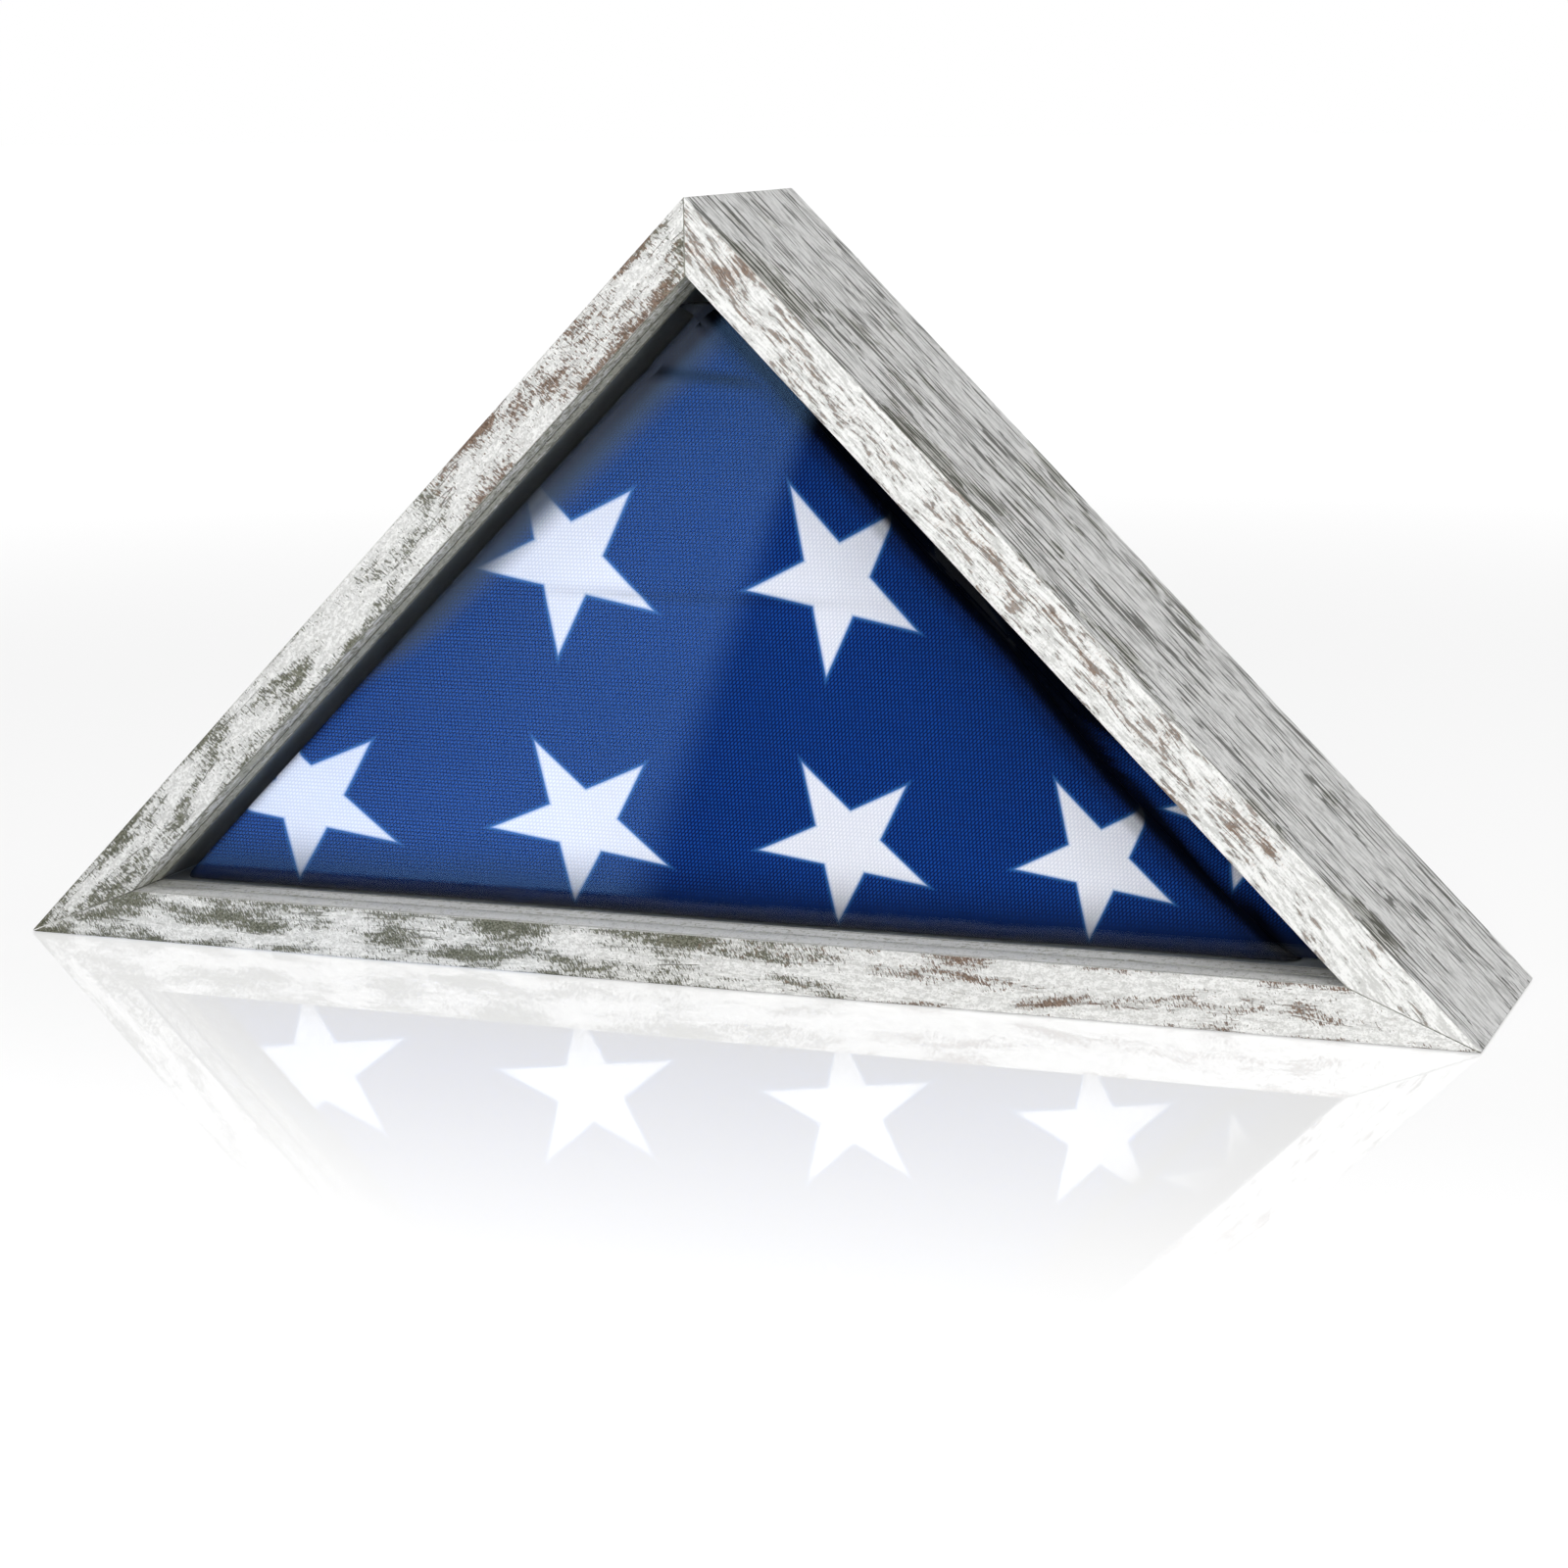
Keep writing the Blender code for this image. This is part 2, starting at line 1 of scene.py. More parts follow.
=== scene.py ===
"""Looks for the folded flag display case: wood, pane, cloth, hardware, studio and camera."""
import math
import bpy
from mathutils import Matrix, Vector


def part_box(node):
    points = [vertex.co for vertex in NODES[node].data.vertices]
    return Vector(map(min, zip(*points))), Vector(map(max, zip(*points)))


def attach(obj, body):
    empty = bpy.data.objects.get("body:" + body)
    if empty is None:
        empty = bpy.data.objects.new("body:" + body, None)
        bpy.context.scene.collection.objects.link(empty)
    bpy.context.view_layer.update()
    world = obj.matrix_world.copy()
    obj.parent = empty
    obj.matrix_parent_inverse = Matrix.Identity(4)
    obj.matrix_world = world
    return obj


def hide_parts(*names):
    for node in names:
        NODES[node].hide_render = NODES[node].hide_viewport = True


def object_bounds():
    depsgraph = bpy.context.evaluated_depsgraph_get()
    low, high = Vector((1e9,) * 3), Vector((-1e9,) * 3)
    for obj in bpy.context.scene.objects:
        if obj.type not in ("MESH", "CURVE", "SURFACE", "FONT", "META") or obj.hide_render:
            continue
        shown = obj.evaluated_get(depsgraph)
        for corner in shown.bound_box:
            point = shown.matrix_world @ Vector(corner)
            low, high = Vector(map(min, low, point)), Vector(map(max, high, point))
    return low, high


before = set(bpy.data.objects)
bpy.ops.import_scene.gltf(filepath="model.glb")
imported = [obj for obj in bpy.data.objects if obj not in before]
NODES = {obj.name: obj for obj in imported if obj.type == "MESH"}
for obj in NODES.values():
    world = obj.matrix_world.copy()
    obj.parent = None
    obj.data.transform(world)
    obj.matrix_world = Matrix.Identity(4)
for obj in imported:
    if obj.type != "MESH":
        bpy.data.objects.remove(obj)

from types import SimpleNamespace

import bmesh
import bpy
import numpy as np
from mathutils import Matrix, Vector

CAD_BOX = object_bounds()
MM = 0.001
SQUARE = math.sqrt(0.5)           # the legs stand at 45 degrees
HALF_BASE = 210.0                 # mm, half the outer triangle's long side
LOW = Vector(CAD_BOX[0])
FRONT_Y = LOW.y
SCENE = bpy.context.scene


def added(name, data):
    """A new object in the scene, for a mesh, a camera or a lamp."""
    obj = bpy.data.objects.new(name, data)
    SCENE.collection.objects.link(obj)
    return obj


# ---------------------------------------------------------------- camera
CAMERA_PLACE = Vector((0.8404, -1.9981, 0.5637))     # from the foot of the front, in long sides
CAMERA_AZIMUTH = 21.319           # turn to the left of straight ahead, degrees
CAMERA_PITCH = -11.263            # below the horizon
CAMERA_ROLL = -0.843
CAMERA_LENS = 80.08


def make_camera():
    data = bpy.data.cameras.new("camera")
    data.lens = CAMERA_LENS
    data.sensor_width = 36.0
    data.clip_start = 0.05
    data.clip_end = 60.0
    camera = added("camera", data)
    turn = Matrix.Rotation(math.radians(CAMERA_AZIMUTH), 4, "Z")
    tilt = Matrix.Rotation(math.radians(90.0 + CAMERA_PITCH), 4, "X")
    roll = Matrix.Rotation(math.radians(CAMERA_ROLL), 4, "Z")
    place = CAMERA_PLACE * (2.0 * HALF_BASE * MM) + Vector((0.0, FRONT_Y, 0.0))
    camera.matrix_world = Matrix.Translation(place) @ turn @ tilt @ roll
    SCENE.camera = camera


make_camera()


# ---------------------------------------------------------------- shader graphs
class Graph:
    """A material's node tree, written as formulas: most methods give an output socket."""

    def __init__(self, name):
        self.material = bpy.data.materials.new(name)
        self.material.use_nodes = True
        self.nodes = self.material.node_tree.nodes
        self.links = self.material.node_tree.links
        self.shader = self.nodes["Principled BSDF"]
        self.output = self.nodes["Material Output"]

    def feed(self, socket, value):
        if isinstance(value, bpy.types.NodeSocket):
            self.links.new(value, socket)
        elif isinstance(value, (tuple, list)) and socket.type == "RGBA":
            socket.default_value = (*value[:3], 1.0)
        else:
            socket.default_value = value

    def node(self, kind, settings=None, **inputs):
        node = self.nodes.new("ShaderNode" + kind)
        for key, value in (settings or {}).items():
            setattr(node, key, value)
        for key, value in inputs.items():
            self.feed(node.inputs[key.replace("_", " ")], value)
        return node

    def math(self, operation, *values, clamp=False):
        node = self.nodes.new("ShaderNodeMath")
        node.operation = operation
        node.use_clamp = clamp
        for socket, value in zip(node.inputs, values):
            self.feed(socket, value)
        return node.outputs[0]

    def add(self, a, b):
        return self.math("ADD", a, b)

    def sub(self, a, b):
        return self.math("SUBTRACT", a, b)

    def mul(self, a, b):
        return self.math("MULTIPLY", a, b)

    def largest(self, a, b):
        return self.math("MAXIMUM", a, b)

    def swing(self, noise, size):
        """A noise brought to lie about 0, and scaled."""
        return self.mul(self.sub(noise, 0.5), size)

    def vector(self, operation, a, b=None):
        node = self.nodes.new("ShaderNodeVectorMath")
        node.operation = operation
        self.feed(node.inputs[0], a)
        if b is not None:
            self.feed(node.inputs[1], b)
        return node.outputs["Value" if operation == "LENGTH" else "Vector"]

    def turned(self, vector, degrees):
        """A vector turned about Y."""
        node = self.node("VectorRotate", {"rotation_type": "Y_AXIS"}, Vector=vector,
                         Angle=math.radians(degrees))
        return node.outputs[0]

    def split(self, vector):
        """The X, Y and Z of a vector."""
        return self.node("SeparateXYZ", None, Vector=vector).outputs

    def joined(self, **axes):
        return self.node("CombineXYZ", None, **axes).outputs[0]

    def uv(self, name):
        return self.node("UVMap", {"uv_map": name}).outputs[0]

    def step(self, value, low, high):
        """0 below low, 1 above high, smooth between; low may be above high."""
        node = self.nodes.new("ShaderNodeMapRange")
        node.interpolation_type = "SMOOTHSTEP"
        self.feed(node.inputs["Value"], value)
        first, last = (low, high) if low < high else (high, low)
        node.inputs["From Min"].default_value = first
        node.inputs["From Max"].default_value = last
        node.inputs["To Min"].default_value = 0.0 if low < high else 1.0
        node.inputs["To Max"].default_value = 1.0 if low < high else 0.0
        return node.outputs["Result"]

    def noise(self, vector, scale=1.0, detail=2.0, rough=0.5, distortion=0.0):
        """A cloudy pattern.  A scale of three numbers stretches it."""
        if isinstance(scale, tuple):
            vector, scale = self.vector("MULTIPLY", vector, scale), 1.0
        node = self.node("TexNoise", None, Vector=vector, Scale=scale, Detail=detail,
                         Roughness=rough, Distortion=distortion)
        return node.outputs["Fac"]

    def mix(self, share, a, b):
        node = self.nodes.new("ShaderNodeMix")
        node.data_type = "RGBA"
        self.feed(node.inputs["Factor"], share)
        self.feed(node.inputs[6], a)
        self.feed(node.inputs[7], b)
        return node.outputs[2]

    def shaders(self, share, a, b):
        """One shader at a share of 0, the other at 1."""
        node = self.node("MixShader", None, Fac=share)
        self.links.new(a, node.inputs[1])
        self.links.new(b, node.inputs[2])
        return node.outputs[0]

    def glow(self, colour, strength):
        return self.node("Emission", None, Color=colour, Strength=strength).outputs[0]

    def bump(self, height, distance, strength=1.0):
        node = self.node("Bump", None, Height=height, Distance=distance, Strength=strength)
        return node.outputs["Normal"]

    def place(self):
        """The point in the part's frame, in millimetres."""
        coords = self.node("TexCoord").outputs["Object"]
        return self.vector("MULTIPLY", coords, (1000.0, 1000.0, 1000.0))

    def surface(self, colour, roughness, normal=None, **numbers):
        """Set up the principled shader.  Gives the material."""
        self.feed(self.shader.inputs["Base Color"], colour)
        self.feed(self.shader.inputs["Roughness"], roughness)
        if normal is not None:
            self.feed(self.shader.inputs["Normal"], normal)
        for key, value in numbers.items():
            self.shader.inputs[key.replace("_", " ")].default_value = value
        return self.material

    def show(self, shader):
        """Make a shader the material's surface.  Gives the material."""
        self.links.new(shader, self.output.inputs["Surface"])
        return self.material


def srgb(code):
    """A linear colour from a six-figure hex code."""
    parts = [int(code[i:i + 2], 16) / 255.0 for i in (0, 2, 4)]
    return tuple(p / 12.92 if p <= 0.04045 else ((p + 0.055) / 1.055) ** 2.4 for p in parts)


def assign(obj, material):
    """Give an object one material all over."""
    obj.data.materials.clear()
    obj.data.materials.append(material)
    obj.data.polygons.foreach_set("material_index", [0] * len(obj.data.polygons))


# ---------------------------------------------------------------- distressed wood
INNER_EDGE = 14.3                 # mm across the face, from the outer arris
RIMS = (2.6, 2.8)                 # mm of it that wear faster, outside and inside
FACE_Y = FRONT_Y / MM
PAINT = (srgb("D4D4D1"), srgb("F8F8F6"))
# paint of the outer sides, darker than the front's as painted shade
SHADED_SIDE_PAINT = (srgb("BCBCBB"), srgb("D9D9D8"))
OLIVE = (srgb("ABAB98"), srgb("3E3F2A"))         # stained paint, and bare wood showing
BROWN = (srgb("B89F8C"), srgb("57402F"))
GRAIN = srgb("474742")
LIP_GROOVES = ((0.6, 2.6), (9.6, 11.3), (17.0, 18.4))      # dark rows, mm behind the face

# where each mark begins to show and where it is full, as values of its pattern
HATCHED = (0.500, 0.550)
DASHED = (0.505, 0.540)
CRACKED = (0.010, 0.003)
CRACKS_END = (-0.22, -0.08)
STAINED = (-0.10, 0.26)
SIDE_LINED = (0.515, 0.545)
SIDE_FIBRES = (0.42, 0.38)
SIDE_STAINED = (0.0, 0.10)
LIP_FLAKED = (0.515, 0.575)
LIP_WORN = (-0.02, 0.14)

WOODS = {
    # node: corner x and z, turn, seed, slant of the ticks, how much of them and of streaks
    # along the bar, how worn the lip is, and the wear along the bar as (share of its length,
    # worn, brown)
    "frame_bottom_rail": dict(corner=(-HALF_BASE, 0.0), turn=0.0, seed=3.0, slant=28.0,
                              ticks=1.0, streaks=0.25, lip_wear=-0.22,
                              wear=((0.0, 0.56, 0.0), (0.36, 0.54, 0.1), (0.55, 0.45, 0.4),
                                    (0.72, 0.36, 0.75), (0.92, 0.37, 0.95), (1.0, 0.3, 0.5))),
    "frame_right_leg": dict(corner=(HALF_BASE, 0.0), turn=135.0, seed=11.0, slant=0.0,
                            ticks=0.25, streaks=1.0, lip_wear=0.0,
                            wear=((0.0, 0.26, 0.5), (0.4, 0.42, 1.0), (1.0, 0.46, 1.0))),
    "frame_left_leg": dict(corner=(0.0, HALF_BASE), turn=-135.0, seed=7.0, slant=8.0,
                           ticks=1.0, streaks=0.15, lip_wear=0.12,
                           wear=((0.0, 0.46, 0.35), (0.16, 0.54, 0.95), (0.30, 0.48, 0.75),
                                 (0.42, 0.37, 0.2), (0.62, 0.38, 0.0), (0.80, 0.56, 0.0),
                                 (1.0, 0.70, 0.0))),
}


def along_curve(g, share, points, column):
    """A value that changes along a bar, between (share, ..., value) points."""
    value = points[0][column]
    for before, after in zip(points, points[1:]):
        rise = g.step(share, before[0], after[0])
        value = g.add(value, g.mul(rise, after[column] - before[column]))
    return value


def band(g, value, low, high, soft):
    """1 from low to high, with soft ends."""
    return g.mul(g.step(value, low - soft, low + soft), g.step(value, high + soft, high - soft))


def bar_faces(g, behind, across):
    """Masks of a bar's front face, its outer side and its lip.

    What isn't front is the outer side up to about 6 mm across, and the lip from about 10 mm.
    """
    normal = g.split(g.node("NewGeometry").outputs["True Normal"])
    upright = g.step(g.math("ABSOLUTE", normal["Y"]), 0.5, 0.85)
    front = g.mul(upright, g.step(behind, 0.7, 0.5))
    side = g.sub(1.0, front)
    return front, g.mul(side, g.step(across, 7.0, 5.0)), g.mul(side, g.step(across, 9.0, 11.0))


def by_face(g, faces, values):
    """A value that is given for the front, the outer side and the lip."""
    front, outer, lip = (g.mul(face, value) for face, value in zip(faces, values))
    return g.add(front, g.add(outer, lip))


def wood_noises(g, local, seed, slant):
    """The noises that the marks come from: along the grain, across it, without a direction.

    Their scales are per mm along the bar, in depth and across its face.
    """
    shifted = g.vector("ADD", local, (seed * 137.0, seed * 31.0, seed * 53.0))
    sway = g.swing(g.noise(shifted, (0.016, 0.05, 0.05)), 9.0)
    bent = g.vector("ADD", shifted, g.joined(Y=sway, Z=sway))
    slanted = g.turned(shifted, slant)
    return SimpleNamespace(
        fibre=g.noise(bent, (0.17, 0.75, 1.15), 2.0, 0.65),
        sliver=g.noise(bent, (0.026, 0.76, 1.5), 1.0, 0.55),
        coarse=g.noise(bent, (0.009, 0.10, 0.22), 2.0, 0.5),
        patch=g.noise(bent, (0.040, 0.08, 0.15), 3.0, 0.55),
        hatch=g.noise(slanted, (2.2, 0.60, 0.72), 2.0, 0.6),
        flake=g.noise(shifted, (0.55, 0.45, 0.85), 5.0, 0.72, 0.5),
        speck=g.noise(shifted, (1.6, 1.2, 2.0), 3.0, 0.6))


def front_marks(g, noises, share, across, ticks, streaks, wear):
    """Ticks across the grain, dashes along it and a few cracks, and where paint is stained."""
    inner_rim = g.step(across, INNER_EDGE - RIMS[1], INNER_EDGE)
    rims = g.add(g.step(across, RIMS[0], 0.0), inner_rim)
    worn = g.sub(along_curve(g, share, wear, 1), 0.62)
    score = g.swing(noises.patch, 1.7 + 0.8 * ticks)
    score = g.add(score, g.swing(noises.flake, 0.5 + 0.7 * ticks))
    score = g.add(score, g.add(g.mul(rims, 0.12 * ticks), worn))

    hatched = g.mul(g.step(g.add(noises.hatch, g.mul(score, 0.55)), *HATCHED), ticks)
    dashed = g.step(g.add(g.sub(1.0, noises.fibre), g.mul(score, 0.40)), *DASHED)
    marks = g.largest(hatched, g.mul(dashed, streaks))
    cracks = g.step(g.math("ABSOLUTE", g.sub(noises.coarse, 0.5)), *CRACKED)
    cracks = g.mul(cracks, g.step(score, *CRACKS_END))
    broken = g.add(g.swing(noises.speck, 0.9), g.swing(noises.hatch, 0.9 * ticks))
    stained = g.step(g.add(score, broken), *STAINED)
    marks = g.mul(marks, g.add(0.68, g.mul(stained, 0.32)))
    return g.largest(marks, g.mul(cracks, 0.85)), stained


def side_marks(g, noises, share, behind):
    """Thin lines along the outer side, and where its paint is stained: more at its edges."""
    edges = g.add(g.step(behind, 24.0, 2.0), g.mul(g.step(behind, 56.0, 78.0), 0.3))
    climb = g.mul(g.step(share, 0.25, 0.85), 0.10)
    score = g.add(g.swing(noises.patch, 2.2), g.swing(noises.flake, 0.6))
    score = g.add(score, g.sub(g.add(climb, g.mul(edges, 0.36)), 0.34))

    lines = g.step(g.add(g.sub(1.0, noises.sliver), g.mul(score, 0.22)), *SIDE_LINED)
    fibres = g.mul(g.step(noises.fibre, *SIDE_FIBRES), 0.22)
    return g.largest(g.mul(lines, 0.92), fibres), g.step(score, *SIDE_STAINED)


def lip_marks(g, noises, behind, lip_wear):
    """Dark rows and flakes on the lip, and where its paint is worn."""
    score = g.add(g.swing(noises.flake, 1.2), g.swing(noises.sliver, 0.8))
    score = g.add(score, g.add(g.mul(g.step(behind, 9.0, 12.0), 0.12), lip_wear))

    first, second, third = (band(g, behind, low, high, 0.45) for low, high in LIP_GROOVES)
    grooves = g.add(g.add(first, second), third)
    depth = g.mul(g.step(noises.flake, 0.30, 0.50), 0.55 if lip_wear < 0.0 else 0.9)
    flakes = g.step(g.add(g.mul(noises.flake, 0.7), g.mul(noises.hatch, 0.3)), *LIP_FLAKED)
    flakes = g.mul(flakes, 0.30 + 3.0 * max(lip_wear, 0.0))
    return g.largest(g.mul(grooves, depth), flakes), g.step(score, *LIP_WORN)


def distressed_wood(name, corner, turn, seed, slant, ticks, streaks, lip_wear, wear):
    """White paint on weathered wood, rubbed through in patches, its grain along the bar."""
    g = Graph(name)
    local = g.turned(g.vector("SUBTRACT", g.place(), (corner[0], 0.0, corner[1])), turn)
    along, depth, across = g.split(local)
    behind = g.sub(depth, FACE_Y)
    length = 2.0 * HALF_BASE * (1.0 if turn == 0.0 else SQUARE)
    share = g.mul(along, 1.0 / length)
    faces = front, outer, lip = bar_faces(g, behind, across)
    noises = wood_noises(g, local, seed, slant)
    marks, stained = front_marks(g, noises, share, across, ticks, streaks, wear)
    side_lines, side_stained = side_marks(g, noises, share, behind)
    lip_marked, lip_worn = lip_marks(g, noises, behind, lip_wear)

    # what shows where paint is stained, and where it is gone
    brown = g.add(along_curve(g, share, wear, 2), g.swing(noises.flake, 1.2))
    hue = g.mul(g.step(brown, 0.40, 0.62), front)
    stain = g.mix(hue, OLIVE[0], BROWN[0])
    bare = g.mix(hue, OLIVE[1], BROWN[1])
    bare = g.mix(g.mul(g.step(noises.speck, 0.40, 0.60), 0.45), bare, stain)
    stain = g.mix(g.mul(outer, side_stained), stain, g.mix(0.55, *OLIVE))

    # the paint itself, a little darker along the fibres or round the flakes
    tone = g.add(g.mul(noises.fibre, 0.7 * streaks), g.mul(noises.flake, 0.7 * (1.0 - streaks)))
    tone = g.step(g.add(tone, g.mul(noises.speck, 0.3)), 0.42, 0.58)
    # painted shade: all but the front face take the darker paint
    paint = g.mix(front, g.mix(tone, *SHADED_SIDE_PAINT), g.mix(tone, *PAINT))
    # painted light: the lip takes paler paint, lifting its recessed faces
    paint = g.mix(g.mul(lip, 0.6), paint, PAINT[1])

    lined = g.add(0.35, g.mul(g.step(noises.sliver, 0.56, 0.44), 0.55))
    stains = (g.mul(stained, 0.55), g.mul(side_stained, lined), g.mul(lip_worn, 0.7))
    worn_through = by_face(g, faces, stains)
    marked = by_face(g, faces, (marks, side_lines, lip_marked))
    colour = g.mix(worn_through, paint, stain)
    colour = g.mix(g.mul(marked, 0.92), colour, g.mix(outer, bare, GRAIN))

    height = g.add(g.mul(noises.flake, 0.10), g.mul(noises.fibre, 0.25))
    height = g.sub(height, g.add(g.mul(marked, 0.8), g.mul(worn_through, 0.15)))
    roughness = g.add(0.55, g.mul(worn_through, 0.25))
    return g.surface(colour, roughness, g.bump(height, 0.28 * MM), Specular_IOR_Level=0.3)


def finish_frame():
    for node, facts in WOODS.items():
        assign(NODES[node], distressed_wood(node + "_paint", **facts))


# ---------------------------------------------------------------- strips, board, metal, glass
# paint of the retaining strips: mid grey, paler than a charcoal finish, in part as painted light so
# they show in the lip's shade
STRIP_PAINT = (srgb("7C7E84"), srgb("9A9DA4"))
BOARD = (srgb("6B4B31"), srgb("94704C"))
BOARD_CLOUD = srgb("7E5B3C")
BOARD_SPECK = srgb("40291A")
ZINC = (srgb("C9CACC"), srgb("A3A5A8"))
NICKEL = (srgb("CFC9BC"), srgb("A79F90"))
RUBBER = (srgb("1B1B1C"), srgb("303032"))
GLASS = (0.97, 0.99, 0.985)
GLASS_SHADOW = (0.93, 0.96, 0.95)
GLASS_REFLECTION = (0.6, 0.6, 0.6, 1.0)


# the strips' paint, paler than charcoal in part as painted light for the lip's shade
def lifted_strip_paint():
    g = Graph("lifted_strip_paint")
    grain = g.noise(g.place(), (0.6, 0.6, 0.6), 4.0, 0.6)
    fine = g.noise(g.place(), 2.0, 3.0, 0.6)
    return g.surface(g.mix(grain, *STRIP_PAINT), g.add(0.72, g.mul(fine, 0.2)),
                     g.bump(fine, 0.1 * MM), Specular_IOR_Level=0.3)


def hardboard():
    """Brown pressed board: short fibres, soft clouds and dark specks."""
    g = Graph("hardboard")
    place = g.place()
    fibres = g.noise(place, (1.3, 1.0, 0.5), 6.0, 0.7, 0.8)
    cloud = g.noise(place, 0.03, 3.0)
    speck = g.noise(place, 1.7, 2.0)
    colour = g.mix(g.mul(cloud, 0.5), g.mix(fibres, *BOARD), BOARD_CLOUD)
    colour = g.mix(g.mul(g.step(speck, 0.66, 0.74), 0.5), colour, BOARD_SPECK)
    roughness = g.add(0.5, g.mul(fibres, 0.25))
    return g.surface(colour, roughness, g.bump(fibres, 0.06 * MM), Specular_IOR_Level=0.4)


def plated(name, colours, roughness):
    """Plated metal, brushed along Z and faintly clouded."""
    g = Graph(name)
    place = g.place()
    brush = g.noise(place, (3.0, 3.0, 0.3), 4.0, 0.65)
    stain = g.noise(place, 0.35, 4.0, 0.6)
    rough = g.add(roughness, g.mul(g.add(brush, stain), 0.12))
    return g.surface(g.mix(stain, *colours), rough, g.bump(brush, 0.02 * MM, 0.6), Metallic=1.0)


def bumper_rubber():
    g = Graph("bumper_rubber")
    grain = g.noise(g.place(), 2.5, 4.0, 0.6)
    return g.surface(g.mix(grain, *RUBBER), g.add(0.66, g.mul(grain, 0.2)),
                     g.bump(grain, 0.05 * MM))


def clear_glass():
    """Clear float glass with a little dust.  Lamps shine through it unbent."""
    g = Graph("clear_glass")
    dust = g.noise(g.place(), 0.08, 5.0, 0.6)
    g.surface(GLASS, g.mul(g.step(dust, 0.45, 0.8), 0.03), Transmission_Weight=1.0, IOR=1.45,
              Specular_Tint=GLASS_REFLECTION)
    clear = g.node("BsdfTransparent", None, Color=GLASS_SHADOW).outputs[0]
    shadow = g.node("LightPath").outputs["Is Shadow Ray"]
    return g.show(g.shaders(shadow, g.shader.outputs[0], clear))


def finish_hardware():
    steel = plated("zinc_steel", ZINC, 0.24)
    nickel = plated("nickel_plate", NICKEL, 0.22)
    black = lifted_strip_paint()
    rubber = bumper_rubber()
    for name, node in NODES.items():
        if name.startswith(("v_nail", "strip_brad", "turn_button_screw", "hanger")):
            assign(node, steel)
        elif name.startswith("turn_button"):
            assign(node, nickel)
        elif name.startswith("retaining_strip"):
            assign(node, black)
        elif name.startswith("bumper"):
            assign(node, rubber)
    assign(NODES["back_panel"], hardboard())
    assign(NODES["glass_pane"], clear_glass())


# ---------------------------------------------------------------- the folded flag
FLAG_LOW, FLAG_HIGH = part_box("folded_flag")
TIP_ROUND = 8.5 * MM              # from the sharp corner of the packet to its rounded one
REACH = FLAG_HIGH.x + TIP_ROUND + FLAG_LOW.z    # where the packet's right side meets z = 0
PLIES = 43
FRONT_GAP = 1.3 * MM              # from the packet's front to the front ply
FRONT_FOLD = 7.0 * MM             # thickness of the fold in front
SIDE_ROLL = 3.0 * MM              # radius of the front ply where it goes round the sides
BOTTOM_ROLL = 5.0 * MM
SIDE_WRAP = 26.0 * MM             # how far it goes back there
BOTTOM_WRAP = 20.0 * MM
APEX_ROUND = 12.0 * MM
STAR_SHARE = (0.342, 0.352)       # a star's radius, in pitches across and up
STAR_TURN = 45.5                  # direction of one tip, degrees from +X
PRINTED_STAR = (35.8, 38.15)      # mm, centre of the star that the second layer repeats
SECOND_STAR = (145.5, 51.0)       # mm, where it lies on the second layer
SECOND_TURN = 7.5                 # and how far the cloth is turned there, degrees
SECOND_SHRINK = 1.06              # and how much smaller it looks
WEAVE = 1.05 * MM                 # one pair of threads
PRINT_SCALE = 0.99652             # from mm in the case to mm of the print: only places it
PRINT_SHIFT = (1.228, 0.824)
STAR_ZERO = (-42.0, 39.2)         # mm, centre of the star that the print counts from
PITCH = (81.9, 67.6)              # mm, from that star to the next, right and up
PITCH_GROWTH = (4.1, 5.2)         # mm per pitch squared, leftwards and upwards
STAR_EDGE = (0.309, 0.951)        # square to a star's edge: sine and cosine of 18 degrees
WARP_LEAN = 0.07                  # from upright

# how many rows and columns of points the sheet has
WRAP_ROWS = 22                    # round the bottom
FACE_ROWS = 117                   # from there to the apex
WRAP_COLUMNS = 26                 # round the left side
FACE_COLUMNS = 129
FOLD_COLUMNS = 14                 # round the front fold
SEEN_STEPS = 60                   # across the ply that shows beside the front fold
PLY_STEPS = 14                    # across each other ply
TURN_STEPS = 6                    # round its end

# colours of the cloth: in the weave's gaps and on its crowns, the gaps' dark in part painted shade,
# the crowns' light in part painted highlight
BLUE = ((0.0002, 0.002, 0.030), (0.010, 0.080, 0.42))
WHITE = ((0.70, 0.68, 0.77), (0.90, 0.86, 0.92))
BLUE_CLOUD = (0.002, 0.018, 0.10)
HALO = (0.06, 0.22, 0.55)         # thin blue rim round a star
SHADED = (0.046, 0.051, 0.066)    # grey of the left edge, in the lip's shade
NOOK_SHADE = (0.0003, 0.0006, 0.003)    # painted shade: near-black for the gaps between plies, under the fold and in the creases


def smooth(value, low, high):
    t = np.clip((value - low) / (high - low), 0.0, 1.0)
    return t * t * (3.0 - 2.0 * t)


def print_coords(x, z):
    """The cloth's printed coordinates, in star pitches, for points of the front ply.

    A star has its centre where both are whole.  The grid is a warp that places the
    stars, not the unrolled cloth: its pitch grows to the left and upwards.  Each coordinate
    depends on both, and the loop closes in on them.
    """
    x = x / MM * PRINT_SCALE + PRINT_SHIFT[0]
    z = z / MM * PRINT_SCALE + PRINT_SHIFT[1]
    column, row = x / 80.0, z / 72.0             # a first guess
    for _ in range(8):
        column = (x - STAR_ZERO[0] + PITCH_GROWTH[0] * column ** 2 + 2.4 * row) / PITCH[0]
        low = STAR_ZERO[1] - 1.3 * column + 0.25 * column ** 2
        row = (z - low - PITCH_GROWTH[1] * row ** 2) / (PITCH[1] - 2.0 * column)
    return np.stack([column, row], axis=-1)


